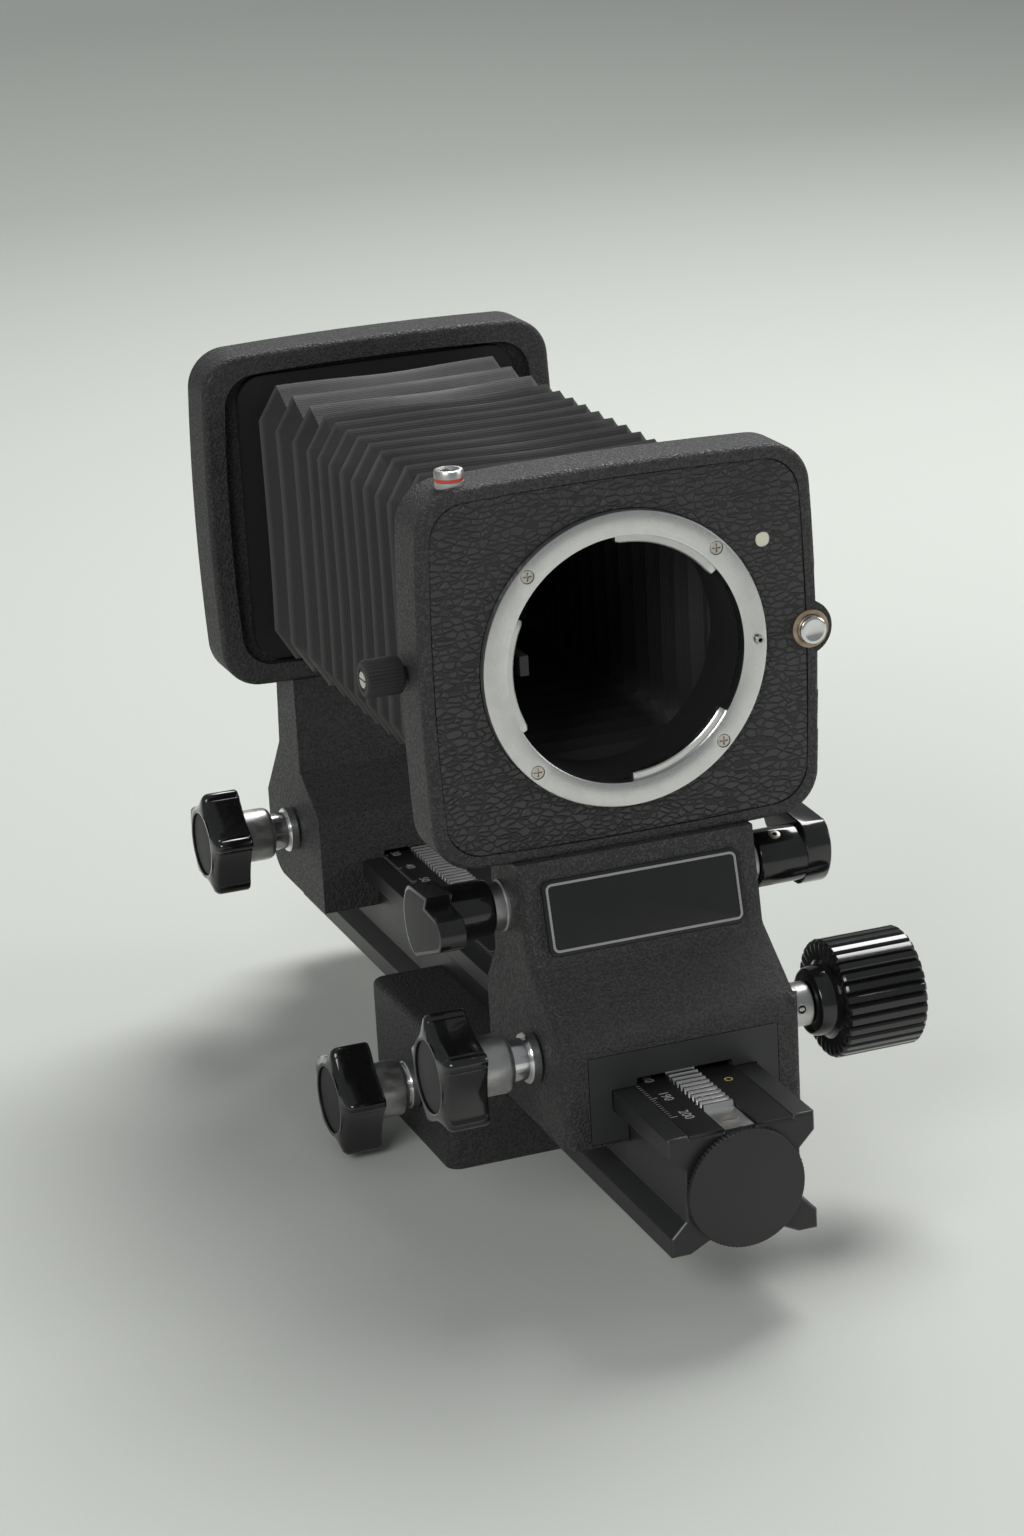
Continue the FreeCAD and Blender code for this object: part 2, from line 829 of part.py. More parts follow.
def raised(wire, start, end, ease, along, up):
    """A knob blank of a given outline between two X positions, its rims eased."""
    solid = Part.Face(wire).extrude(V(0, 0, abs(end - start)))
    rims = [edge for edge in solid.Edges
            if abs(edge.Vertexes[0].Z - edge.Vertexes[-1].Z) < 1e-6]
    solid = solid.makeChamfer(ease, rims)
    turned = TURN["X"] if end > start else TURN["-X"]
    solid.Placement = FreeCAD.Placement(V(start, along, up), turned)
    return solid


def drive_set(prefix, along, up, side, wall, bush_proud):
    """A pinion shaft with its fixed bush and its ribbed knob, on the right."""
    bush_out = wall + bush_proud
    hub_in = bush_out + dim.knob_gap
    hub_out = hub_in + dim.hub_long
    knob_out = hub_out + dim.knob_long
    shaft = rod(f"{prefix}_shaft_bar", "X", (-dim.shaft_left, along, up), dim.shaft_r,
                dim.shaft_left + knob_out - dim.knob_edge)
    pinion = formed(f"{prefix}_pinion", pinion_shape(float(along), float(up), side))
    node(f"{prefix}_drive_shaft", joined(f"{prefix}_shaft_fused", shaft, pinion))
    inner = rod(f"{prefix}_bush_inner", "X", (dim.bush_in, along, up), dim.bush_bore, bush_out - dim.bush_in)
    flange = rod(f"{prefix}_bush_flange", "X", (wall, along, up), dim.bush_flange_r, bush_proud)
    hole = rod(f"{prefix}_bush_hole", "X", (dim.bush_in - 1, along, up), dim.shaft_r + dim.bore_gap,
               bush_out - dim.bush_in + 2)
    blank = joined(f"{prefix}_bush_blank", inner, flange)
    node(f"{prefix}_drive_bush", cut(f"{prefix}_bush_cut", blank, hole))
    grip = formed(f"{prefix}_grip", raised(ribbed_outline(), float(hub_out), float(knob_out),
                                           float(dim.knob_edge) / 2, float(along), float(up)))
    hub = rod(f"{prefix}_hub", "X", (hub_in, along, up), dim.hub_r, dim.hub_long)
    knob_hole = rod(f"{prefix}_knob_hole", "X", (bush_out, along, up), dim.shaft_r,
                    knob_out - dim.knob_edge - bush_out)
    node(f"{prefix}_drive_knob", cut(f"{prefix}_knob_cut", joined(f"{prefix}_knob_blank", hub, grip),
                                     knob_hole))


def lock_set(prefix, along, up, wall, neck_long, lobe_turn):
    """A lock stem with its collar, lobed knob and cap, on the left, and the pad it presses."""
    pad_out = dim.shaft_left + dim.bore_gap + dim.brake_long
    node(f"{prefix}_brake_pad", rod(f"{prefix}_pad_rod", "-X",
                                    (-dim.shaft_left - dim.bore_gap, along, up),
                                    dim.shaft_r, dim.brake_long))
    neck_in = wall + dim.knob_gap
    neck_out = neck_in + neck_long
    collar_out = neck_out + dim.lock_collar_long
    knob_out = collar_out + dim.lock_knob_long
    stem_in = pad_out + dim.bore_gap
    stem = rod(f"{prefix}_stem_bar", "-X", (-stem_in, along, up), dim.shaft_r,
               knob_out - dim.cap_sink - dim.cap_thick - stem_in)
    neck = rod(f"{prefix}_stem_neck", "-X", (-neck_in, along, up), dim.lock_neck_r, neck_long)
    node(f"{prefix}_lock_stem", joined(f"{prefix}_stem_fused", stem, neck))
    node(f"{prefix}_lock_collar", tube(f"{prefix}_lock_ring", "-X", (-neck_out, along, up),
                                       dim.lock_collar_r, dim.shaft_r, dim.lock_collar_long))
    # The lobes' angles count from the front, and the outline's own zero points down
    outline_turn = float(lobe_turn) - 90
    grip = formed(f"{prefix}_lobes", raised(lobed_outline(outline_turn), -float(collar_out),
                                            -float(knob_out), float(dim.lock_edge),
                                            float(along), float(up)))
    stem_hole = rod(f"{prefix}_stem_hole", "-X", (-collar_out, along, up), dim.shaft_r, dim.lock_knob_long)
    cap_seat = rod(f"{prefix}_cap_seat", "X", (-knob_out, along, up), dim.cap_r + dim.bore_gap,
                   dim.cap_sink + dim.cap_thick)
    node(f"{prefix}_lock_knob", cut(f"{prefix}_lock_cut", grip, stem_hole, cap_seat))
    node(f"{prefix}_lock_cap", rod(f"{prefix}_cap_disc", "X", (-knob_out + dim.cap_sink, along, up),
                                   dim.cap_r, dim.cap_thick))


# Focusing stage
stage_body = new_body("stage_block")
stage_plan = [
    (-dim.stage_half_x, -dim.stage_half_y),
    (dim.stage_half_x, -dim.stage_half_y),
    (dim.stage_half_x, dim.stage_half_y),
    (-dim.stage_half_x, dim.stage_half_y),
]
stage_sketch = outline(stage_body, "stage_plan", "XY_Plane", stage_plan)
pad(stage_body, stage_sketch, dim.stage_high)
eased(stage_body, "Fillet", "stage_corners", dim.stage_round, lambda edge: runs_along(edge, "z"))
eased(stage_body, "Fillet", "stage_rims", dim.stage_round / 2,
      lambda edge: lies_at(edge, "z", dim.stage_high))
stage_tunnel = lower_tunnel("stage_tunnel", dim.slide_gap, -dim.stage_half_y - 1, dim.stage_half_y + 1)
stage_y = dim.stage_axis_y
gib_in = dim.rail_half + dim.slide_gap
gib_slot = block("gib_slot",
                 (-gib_in - dim.gib_thick - dim.slide_gap, -dim.stage_half_y + dim.gib_inset, dim.rail_base),
                 (-gib_in + 1, dim.stage_half_y - dim.gib_inset, dim.rail_base + dim.flange_side))
bush_hole = rod("tripod_bush_hole", "Z", (0, 0, -1), dim.bush_r + dim.bore_gap, dim.bush_long + 1)
node("stage_body", cut("stage_cut", stage_body, stage_tunnel, gib_slot, bush_hole,
                       *drive_bores("stage", stage_y, stage_axis_z, dim.stage_half_x)))
node("stage_gib", block("gib_strip",
                        (-gib_in - dim.gib_thick, -dim.stage_half_y + dim.gib_inset + dim.slide_gap,
                         dim.rail_base + dim.slide_gap),
                        (-gib_in, dim.stage_half_y - dim.gib_inset - dim.slide_gap,
                         dim.rail_base + dim.flange_side - dim.slide_gap)))
node("tripod_bush", tube("tripod_bush_tube", "Z", (0, 0, 0), dim.bush_r, dim.tripod_r, dim.bush_long))
drive_set("stage", stage_y, stage_axis_z, 1, dim.stage_half_x, dim.stage_bush_proud)
lock_set("stage", stage_y, stage_axis_z, dim.stage_half_x, dim.stage_neck_long, dim.stage_lobe_turn)

# Lens standard casting
front_body = new_body("front_block")
lean = dim.plate_lean
face_y = flange_y - dim.plate_ahead
front_side = [
    (flange_y + dim.neck_ahead, dim.neck_top),
    (face_y + (dim.brow_z - dim.plate_mid_z) * lean, dim.brow_z),
    (face_y - (dim.plate_mid_z - dim.chin_z) * lean, dim.chin_z),
    (flange_y - dim.base_ahead, dim.crease_z),
    (flange_y - dim.base_ahead, dim.base_z),
    (flange_y + dim.base_behind, dim.base_z),
    (flange_y + dim.base_behind, dim.base_shoulder),
    (panel_back, dim.base_waist),
    (panel_back, dim.neck_top),
]
front_sketch = outline(front_body, "front_side", "YZ_Plane", front_side)
pad(front_body, front_sketch, 2 * dim.neck_half, both=True)
eased(front_body, "Fillet", "front_neck_edges", dim.casting_round,
      lambda edge: lies_at(edge, "y", flange_y - dim.base_ahead) and runs_along(edge, "z"))


def standard_panel(body, name, front_face):
    """The bowed panel of a standard, its corners and rims rounded."""
    blank = new_body(name)
    sketch = bowed_outline(blank, f"{name}_outline", lens_z, dim.panel_half_x, dim.panel_half_z, -front_face)
    pad(blank, sketch, dim.panel_thick, reverse=True)
    eased(blank, "Fillet", f"{name}_corners", dim.panel_corner, lambda edge: runs_along(edge, "y"))
    eased(blank, "Fillet", f"{name}_rims", dim.panel_rim,
          lambda edge: lies_at(edge, "y", front_face) or lies_at(edge, "y", front_face + dim.panel_thick))
    return joined(f"{name}_on_neck", body, blank)


def bowed_plate(name, front_face, half_x, half_z, corner, thick):
    """A plate or a recess that follows the bowed outline."""
    body = new_body(name)
    sketch = bowed_outline(body, f"{name}_outline", lens_z, half_x, half_z, -front_face)
    pad(body, sketch, thick, reverse=True)
    eased(body, "Fillet", f"{name}_corners", corner, lambda edge: runs_along(edge, "y"))
    return body


front_shape = standard_panel(front_body, "front_panel", panel_y)
release_boss = rod("release_boss", "Y", (dim.boss_x, panel_y, lens_z), dim.boss_r, dim.panel_thick)
front_blank = joined("front_blank", front_shape, release_boss)

leather_recess = bowed_plate("leather_recess", panel_y - 1, dim.leather_half_x + dim.seat_gap,
                             dim.leather_half_z + dim.seat_gap, dim.leather_corner + dim.seat_gap,
                             dim.leather_thick + 1)
ring_back = flange_y + dim.ring_thick
ring_seat = rod("ring_seat", "Y", (0, panel_y, lens_z), dim.ring_r + dim.bore_gap,
                dim.ring_thick - dim.ring_proud)
throat = rod("throat", "Y", (0, panel_y - 1, lens_z), dim.tube_r + dim.bore_gap, dim.panel_thick + 2)
front_tunnel = upper_tunnel("front_tunnel", dim.slide_gap, flange_y - dim.base_ahead - 1,
                            flange_y + dim.base_behind + 1)
cover_y = flange_y - dim.base_ahead
cover_recess = block("cover_recess",
                     (-dim.cover_half - dim.seat_gap, cover_y - 1, dim.cover_low - dim.seat_gap),
                     (dim.cover_half + dim.seat_gap, cover_y + dim.cover_thick, dim.cover_top + dim.seat_gap))

# Release cavity, linkage cavity and their bores, all behind the panel's face
arm_y = flange_y + dim.release_arm_y
arm_end = dim.button_x + dim.release_arm_half
arm_start = dim.pin_x - dim.pin_r
release_room = block("release_room",
                     (arm_start - dim.seat_gap, arm_y - dim.seat_gap,
                      lens_z - dim.release_arm_half - dim.seat_gap),
                     (arm_end + dim.seat_gap,
                      arm_y + dim.release_arm_thick + dim.release_travel + dim.seat_gap,
                      lens_z + dim.release_arm_half + dim.seat_gap))
button_z = lens_z + dim.button_z
pin_bore = rod("pin_bore", "Y", (dim.pin_x, panel_y, lens_z), dim.pin_r + dim.bore_gap,
               arm_y - panel_y)
collar_bore = rod("collar_bore", "Y", (dim.button_x, panel_y - 1, button_z), dim.collar_r + dim.bore_gap,
                  arm_y - panel_y + 1 + dim.release_travel + dim.seat_gap)
stop_y = flange_y + dim.stop_y
stop_z = lens_z + dim.stop_z
stop_bore = rod("stop_bore", "-X", (-dim.stop_end, stop_y, stop_z), dim.stop_shaft_r + dim.bore_gap,
                dim.stop_knob_in - dim.stop_end + 1)
socket_y = flange_y + dim.socket_y
socket_mouth = lens_z + dim.socket_top
crank_half = dim.stop_crank_half + dim.seat_gap
crank_room = block("crank_room",
                   (-dim.socket_x - crank_half, socket_y - dim.stop_crank_room + 1,
                    stop_z - dim.stop_crank_room),
                   (-dim.socket_x + crank_half, stop_y + dim.stop_shaft_r + dim.seat_gap,
                    stop_z + dim.stop_crank_room))
plunger_bore = rod("plunger_bore", "Z", (-dim.socket_x, socket_y, stop_z), dim.plunger_r + dim.bore_gap,
                   lens_z + dim.socket_root - stop_z)
socket_bore = rod("socket_seat", "Z", (-dim.socket_x, socket_y, lens_z + dim.socket_root),
                  dim.socket_r + dim.bore_gap, dim.panel_half_z - dim.socket_root + 1)
clamp_y = flange_y - dim.clamp_ahead
clamp_bores = [
    rod(f"{name}_clamp_bore", axis, (0, clamp_y, dim.clamp_z), dim.clamp_spindle_r + dim.bore_gap,
        dim.neck_half + 1)
    for name, axis in (("left", "-X"), ("right", "X"))
]
dot_hole = rod("dot_hole", "Y", (dim.dot_x, panel_y - 1, lens_z + dim.dot_z), dim.dot_r + dim.bore_gap,
               dim.leather_thick + 1)
node("front_casting", cut(
    "front_cut", front_blank, leather_recess, ring_seat, throat, front_tunnel, cover_recess, release_room,
    pin_bore, collar_bore, stop_bore, crank_room, plunger_bore, socket_bore, *clamp_bores,
    *drive_bores("front", front_drive_y, dim.drive_z, dim.neck_half),
))

# Trim on the lens standard
leather_plate = bowed_plate("leather_plate", panel_y, dim.leather_half_x, dim.leather_half_z,
                            dim.leather_corner, dim.leather_thick)
leather_ring_hole = rod("leather_ring_hole", "Y", (0, panel_y - 1, lens_z), dim.ring_r + dim.seat_gap,
                        dim.leather_thick + 2)
leather_collar_hole = rod("leather_collar_hole", "Y", (dim.button_x, panel_y - 1, button_z),
                          dim.collar_r + dim.seat_gap, dim.leather_thick + 2)
node("front_leather", cut("leather_cut", leather_plate, leather_ring_hole, leather_collar_hole, dot_hole))
node("index_dot", rod("dot_disc", "Y", (dim.dot_x, panel_y - dim.dot_proud, lens_z + dim.dot_z), dim.dot_r,
                      dim.leather_thick + dim.dot_proud))

# Lens mount
ring_blank = tube("ring_blank", "Y", (0, flange_y, lens_z), dim.ring_r, dim.ring_bore, dim.ring_thick)
lugs = []
for name, start in (("first", dim.lug_first), ("second", dim.lug_second), ("third", dim.lug_third)):
    outer = sector(f"{name}_lug_outer", "-Y", (0, flange_y + dim.lug_back + dim.lug_thick, lens_z),
                   dim.ring_bore + 1, dim.lug_thick, start, dim.lug_angle)
    lugs.append(outer)
lug_hole = rod("lug_hole", "Y", (0, flange_y - 1, lens_z), dim.lug_bore, dim.ring_thick + 2)
lug_ring = cut("lug_ring", joined("lug_sectors", *lugs), lug_hole)
ring_screw_half = dim.ring_screw_at * math.sqrt(0.5)
ring_screw_sites = [(across, up) for across in (-1, 1) for up in (-1, 1)]
ring_screw_holes = []
ring_screws = []
for number, (across, up) in enumerate(ring_screw_sites, start=1):
    site = (across * ring_screw_half, flange_y, lens_z + up * ring_screw_half)
    ring_screw_holes.append(rod(f"ring_hole_{number}", "Y", site, dim.ring_screw_r + dim.bore_gap,
                                dim.ring_thick))
    sunk = (site[0], flange_y + dim.ring_screw_sink, site[2])
    ring_screws.append(rod(f"ring_screw_{number}", "Y", sunk, dim.ring_screw_r,
                           dim.ring_thick - dim.ring_screw_sink))
ring_pin_hole = rod("ring_pin_hole", "Y", (dim.pin_x, flange_y, lens_z), dim.pin_r + dim.bore_gap,
                    dim.ring_thick)
ring_whole = joined("ring_whole", ring_blank, lug_ring)
node("lens_mount_ring", cut("ring_cut", ring_whole, *ring_screw_holes, ring_pin_hole))
node("mount_ring_screws", group("ring_screw_set", *ring_screws))
throat_blank = tube("throat_blank", "Y", (0, ring_back, lens_z), dim.tube_r, dim.tube_r - dim.tube_wall,
                    panel_back - ring_back)
throat_side_hole = rod("throat_side_hole", "-X", (0, stop_y, stop_z), dim.stop_shaft_r + dim.bore_gap,
                       dim.tube_r + 1)
node("throat_tube", cut("throat_cut", throat_blank, throat_side_hole))

# Nameplate, left bare, on the sloping face of the neck
plate_body = new_body("plate_block")
plate_corners = [
    (-dim.plate_half_x, -dim.plate_tall / 2),
    (dim.plate_half_x, -dim.plate_tall / 2),
    (dim.plate_half_x, dim.plate_tall / 2),
    (-dim.plate_half_x, dim.plate_tall / 2),
]
plate_sketch = outline(plate_body, "plate_outline", "XZ_Plane", plate_corners)
pad(plate_body, plate_sketch, dim.plate_thick)
eased(plate_body, "Fillet", "plate_corners", dim.plate_corner, lambda edge: runs_along(edge, "y"))
plate_turn = FreeCAD.Rotation(V(1, 0, 0), -math.degrees(math.atan(float(lean))))
place(plate_body, (0, face_y, dim.plate_mid_z), plate_turn)
node("nameplate", plate_body)

# Cover plate round the rail
cover_blank = block("cover_blank", (-dim.cover_half, cover_y, dim.cover_low),
                    (dim.cover_half, cover_y + dim.cover_thick, dim.cover_top))
cover_tunnel = upper_tunnel("cover_tunnel", dim.slide_gap + dim.seat_gap, cover_y - 1,
                            cover_y + dim.cover_thick + 1)
node("rail_cover_plate", cut("cover_cut", cover_blank, cover_tunnel))

# Lens release button, its collar, arm and locating pin
collar_y = panel_y - dim.collar_proud
node("release_collar", tube("release_collar_tube", "Y", (dim.button_x, collar_y, button_z), dim.collar_r,
                            dim.button_r + dim.bore_gap, arm_y - dim.seat_gap - collar_y))
button_y = collar_y - dim.button_proud
node("release_button", rod("release_button_rod", "Y", (dim.button_x, button_y, button_z), dim.button_r,
                           arm_y - button_y))
pin_rod = rod("pin_rod", "Y", (dim.pin_x, flange_y - dim.pin_proud, lens_z), dim.pin_r,
              arm_y - flange_y + dim.pin_proud)
release_arm = block("release_arm",
                    (arm_start, arm_y, lens_z - dim.release_arm_half),
                    (arm_end, arm_y + dim.release_arm_thick, lens_z + dim.release_arm_half))
node("lock_pin", joined("pin_on_arm", pin_rod, release_arm))

# Stop-down shaft with its crank and the lever in the throat
stop_bar = rod("stop_bar", "-X", (-dim.stop_end, stop_y, stop_z), dim.stop_shaft_r,
               dim.stop_knob_out - dim.stop_end - 1)
tab_low = stop_z - dim.stop_tab_tall / 2
stop_tab = block("stop_tab",
                 (-dim.stop_end - dim.stop_tab_thick, flange_y + dim.stop_tab_reach, tab_low),
                 (-dim.stop_end, stop_y, tab_low + dim.stop_tab_tall))
stop_crank = block("stop_crank",
                   (-dim.socket_x - dim.stop_crank_half, socket_y - dim.stop_crank_thick / 2,
                    stop_z - dim.stop_crank_thick / 2),
                   (-dim.socket_x + dim.stop_crank_half, stop_y, stop_z + dim.stop_crank_thick / 2))
node("stop_down_shaft", joined("stop_shaft_fused", stop_bar, stop_tab, stop_crank))
node("stop_down_knob", tube("stop_knob_tube", "-X", (-dim.stop_knob_in, stop_y, stop_z), dim.stop_knob_r,
                            dim.stop_shaft_r, dim.stop_knob_out - dim.stop_knob_in))

# Cable release socket and the plunger that presses the crank
socket_long = dim.socket_top - dim.socket_root
node("cable_socket", tube("socket_tube", "Z", (-dim.socket_x, socket_y, lens_z + dim.socket_root),
                          dim.socket_r, dim.socket_bore, socket_long))
plunger_low = stop_z + dim.stop_crank_thick / 2 + dim.seat_gap
plunger_tip = rod("plunger_tip_rod", "Z", (-dim.socket_x, socket_y, plunger_low), dim.plunger_tip,
                  dim.plunger_tip_long)
plunger_rod = rod("plunger_rod", "Z", (-dim.socket_x, socket_y, plunger_low + dim.plunger_tip_long),
                  dim.plunger_r, socket_mouth - dim.plunger_below - plunger_low - dim.plunger_tip_long)
node("release_plunger", joined("plunger_fused", plunger_tip, plunger_rod))


# Clamp levers
def lever_outline():
    """A short lever with a round heel, a smaller round tip and a step above, pointing along local X."""
    heel = float(dim.clamp_lever_r)
    tip = float(dim.clamp_tip_r)
    end = float(dim.clamp_lever_reach) - tip
    step = float(dim.clamp_step)
    top = V(0, heel, 0)
    shelf = V(step, heel, 0)
    notch = V(step, tip, 0)
    shoulder = V(end, tip, 0)
    nose = V(end + tip, 0, 0)
    under = V(end, -tip, 0)
    lean = math.acos((heel - tip) / end)
    low = V(heel * math.cos(lean), -heel * math.sin(lean), 0)
    back = V(-heel, 0, 0)
    return Part.Wire([
        Part.LineSegment(top, shelf).toShape(),
        Part.LineSegment(shelf, notch).toShape(),
        Part.LineSegment(notch, shoulder).toShape(),
        Part.Arc(shoulder, nose, under).toShape(),
        Part.LineSegment(under, low).toShape(),
        Part.Arc(low, back, top).toShape(),
    ])


def clamp_lever(label, side, lever_turn):
    """A round barrel on its spindle with a stepped lever at its outer end."""
    axis = "X" if side > 0 else "-X"
    start = dim.neck_half + dim.clamp_collar_long + dim.knob_gap
    lever_out = start + dim.clamp_long
    lever_in = lever_out - dim.clamp_lever_thick
    barrel = rod(f"{label}_barrel", axis, (side * start, clamp_y, dim.clamp_z), dim.clamp_r,
                 dim.clamp_long - dim.clamp_lever_thick)
    spindle_in = dim.neck_half - dim.clamp_spindle_deep
    spindle = rod(f"{label}_spindle", axis, (side * spindle_in, clamp_y, dim.clamp_z),
                  dim.clamp_spindle_r, lever_in - spindle_in)
    plate = Part.Face(lever_outline()).extrude(V(0, 0, float(dim.clamp_lever_thick)))
    spin = FreeCAD.Rotation(V(1, 0, 0), -float(lever_turn))
    facing = FreeCAD.Rotation(V(0, -1, 0), V(0, 0, 1), V(-1, 0, 0), "ZXY")
    plate.Placement = FreeCAD.Placement(V(0, 0, 0), spin.multiply(facing))
    lever = formed(f"{label}_plate", plate)
    lever_x = float(lever_out) if side > 0 else -float(lever_in)
    moved = FreeCAD.Placement(V(lever_x, float(clamp_y), float(dim.clamp_z)), FreeCAD.Rotation())
    lever.Placement = moved.multiply(plate.Placement)
    return node(label, joined(f"{label}_fused", barrel, spindle, lever))


clamp_lever("left_clamp_lever", -1, dim.left_lever_turn)
clamp_lever("right_clamp_lever", 1, dim.right_lever_turn)
node("clamp_collars", group("clamp_collar_pair", *[
    tube(f"{name}_clamp_collar", axis, (start, clamp_y, dim.clamp_z), dim.clamp_collar_r,
         dim.clamp_spindle_r + dim.bore_gap, dim.clamp_collar_long)
    for name, axis, start in (("left", "-X", -dim.neck_half), ("right", "X", dim.neck_half))
]))
drive_set("front", front_drive_y, dim.drive_z, -1, dim.neck_half, dim.bush_proud)
lock_set("front", front_drive_y, dim.drive_z, dim.neck_half, dim.lock_neck_long, dim.front_lobe_turn)

# Camera standard casting
rear_body = new_body("rear_block")
rear_panel_back = dim.rear_plane + dim.panel_thick
rear_side = [
    (rear_panel_back, dim.neck_top),
    (dim.rear_nape, dim.chin_z),
    (dim.rear_back, dim.rear_flare_z),
    (dim.rear_back, dim.base_z),
    (dim.rear_front, dim.base_z),
    (dim.rear_front, dim.base_shoulder),
    (dim.rear_plane, dim.base_waist),
    (dim.rear_plane, dim.neck_top),
]
rear_sketch = outline(rear_body, "rear_side", "YZ_Plane", rear_side)
pad(rear_body, rear_sketch, 2 * dim.neck_half, both=True)
eased(rear_body, "Fillet", "rear_heel", dim.rear_round,
      lambda edge: lies_at(edge, "y", dim.rear_back) and lies_at(edge, "z", dim.base_z))
rear_shape = standard_panel(rear_body, "rear_panel", dim.rear_plane)
dish = bowed_plate("dish", dim.rear_plane - 1, dim.dish_half_x, dim.dish_half_z, dim.leather_corner,
                   dim.dish_deep + 1)
journal_bore = rod("journal_bore", "Y", (0, dim.rear_plane, lens_z), dim.journal_r + dim.bore_gap,
                   dim.panel_thick + 1)
rear_tunnel = upper_tunnel("rear_tunnel", dim.slide_gap, dim.rear_front - 1, dim.rear_back + 1)
turn_y = rear_panel_back - dim.journal_long / 2
turn_bore = rod("turn_bore", "X", (dim.journal_r, turn_y, lens_z), dim.turn_screw_r + dim.bore_gap,
                dim.panel_half_x - dim.journal_r + 1)
node("rear_casting", cut("rear_cut", rear_shape, dish, journal_bore, rear_tunnel, turn_bore,
                         *drive_bores("rear", dim.rear_drive_y, dim.drive_z, dim.neck_half)))
drive_set("rear", dim.rear_drive_y, dim.drive_z, -1, dim.neck_half, dim.bush_proud)
lock_set("rear", dim.rear_drive_y, dim.drive_z, dim.neck_half, dim.lock_neck_long, dim.rear_lobe_turn)

# Rotating camera mount and the screw that locks it
journal = rod("journal", "Y", (0, rear_panel_back - dim.journal_long, lens_z), dim.journal_r,
              dim.journal_long + dim.knob_gap)
mount_flange = rod("mount_flange", "Y", (0, rear_panel_back + dim.knob_gap, lens_z), dim.mount_flange_r,
                   dim.mount_flange_thick)
male_y = rear_panel_back + dim.knob_gap + dim.mount_flange_thick
male_tube = rod("male_tube", "Y", (0, male_y, lens_z), dim.male_r, dim.male_long)
male_lugs = [
    sector(f"{name}_male_lug", "-Y", (0, male_y + dim.male_long, lens_z), dim.male_lug_r,
           dim.male_lug_thick, start, dim.lug_angle)
    for name, start in (("first", dim.lug_first), ("second", dim.lug_second), ("third", dim.lug_third))
]
male_hole = rod("male_hole", "Y", (0, rear_panel_back - dim.journal_long - 1, lens_z), dim.male_bore,
                dim.journal_long + dim.knob_gap + dim.mount_flange_thick + dim.male_long + 2)
mount_blank = joined("mount_blank", journal, mount_flange, male_tube, *male_lugs)
node("camera_mount_ring", cut("mount_cut", mount_blank, male_hole))
turn_stem = rod("turn_stem", "X", (dim.journal_r + dim.turn_tip_gap, turn_y, lens_z), dim.turn_screw_r,
                dim.turn_knob_out - dim.journal_r - 1)
turn_head = rod("turn_head", "X", (dim.panel_half_x + dim.knob_gap, turn_y, lens_z), dim.turn_knob_r,
                dim.turn_knob_out - dim.panel_half_x - dim.knob_gap)
node("rotation_lock_screw", joined("turn_fused", turn_stem, turn_head))


# Bellows and the frames that hold it
def bellows_frame(name, start):
    """A square plate with round corners and a round opening at one end of the bellows."""
    body = new_body(f"{name}_plate")
    half = dim.dish_half_z - dim.frame_room
    corners = [
        (-half, lens_z - half),
        (half, lens_z - half),
        (half, lens_z + half),
        (-half, lens_z + half),
    ]
    sketch = outline(body, f"{name}_outline", "XZ_Plane", corners, -start)
    pad(body, sketch, dim.frame_thick, reverse=True)
    eased(body, "Fillet", f"{name}_corners", dim.frame_corner, lambda edge: runs_along(edge, "y"))
    hole = rod(f"{name}_hole", "Y", (0, start - 1, lens_z), dim.frame_bore, dim.frame_thick + 2)
    return node(name, cut(f"{name}_cut", body, hole))


bellows_frame("front_bellows_frame", panel_back)
rear_frame_y = dim.rear_plane + dim.dish_deep - dim.frame_thick
bellows_frame("rear_bellows_frame", rear_frame_y)


def bellows_section(along, shrink):
    """The corners of the bellows' outline at one place: a rectangle with cut corners."""
    across = float(dim.bellows_half_x) - shrink
    up = float(dim.bellows_half_z) - shrink
    cut_x = float(dim.bellows_cut_x)
    cut_z = float(dim.bellows_cut_z)
    quarter = [(across, up - cut_z), (across - cut_x, up)]
    right = quarter + [(-x, z) for x, z in reversed(quarter)]
    whole = right + [(-x, -z) for x, z in right]
    return [V(x, along, float(lens_z) + z) for x, z in whole]


def flat_face(corners):
    """A flat face on a run of corners."""
    return Part.Face(Part.makePolygon(corners + corners[:1]))


def bellows_shell(start, end, inset):
    """A pleated skin of flat panels: wide pleats at the rear and narrow ones ahead of them."""
    wide = int(round(float(dim.wide_pleats)))
    narrow = int(round(float(dim.narrow_pleats)))
    split = end - wide * float(dim.wide_pitch)
    step = (split - start) / narrow
    folds = [start + index * step for index in range(narrow)]
    folds += [split + index * float(dim.wide_pitch) for index in range(wide)] + [end]
    sections = []
    for here, there in zip(folds, folds[1:]):
        sections.append(bellows_section(here, inset + float(dim.pleat_deep)))
        sections.append(bellows_section((here + there) / 2, inset))
    sections.append(bellows_section(end, inset + float(dim.pleat_deep)))
    faces = [flat_face(sections[0]), flat_face(sections[-1])]
    for here, there in zip(sections, sections[1:]):
        for index in range(len(here)):
            faces.append(flat_face([here[index - 1], here[index], there[index], there[index - 1]]))
    return Part.makeSolid(Part.makeShell(faces))


bellows_start = float(panel_back + dim.frame_thick + dim.soft_gap)
bellows_end = float(rear_frame_y - dim.soft_gap)
bellows_skin = bellows_shell(bellows_start, bellows_end, 0)
bellows_space = bellows_shell(bellows_start, bellows_end, float(dim.bellows_wall))
node("bellows", formed("bellows_solid", bellows_skin.cut(bellows_space)))

doc.recompute()

for item in doc.Objects:
    if "Invalid" in item.State or "Error" in item.State:
        raise ValueError(f"{item.Name} did not compute")
for item in nodes:
    if item.Shape.isNull() or not item.Shape.isValid():
        raise ValueError(f"{item.Label} is not a valid shape")

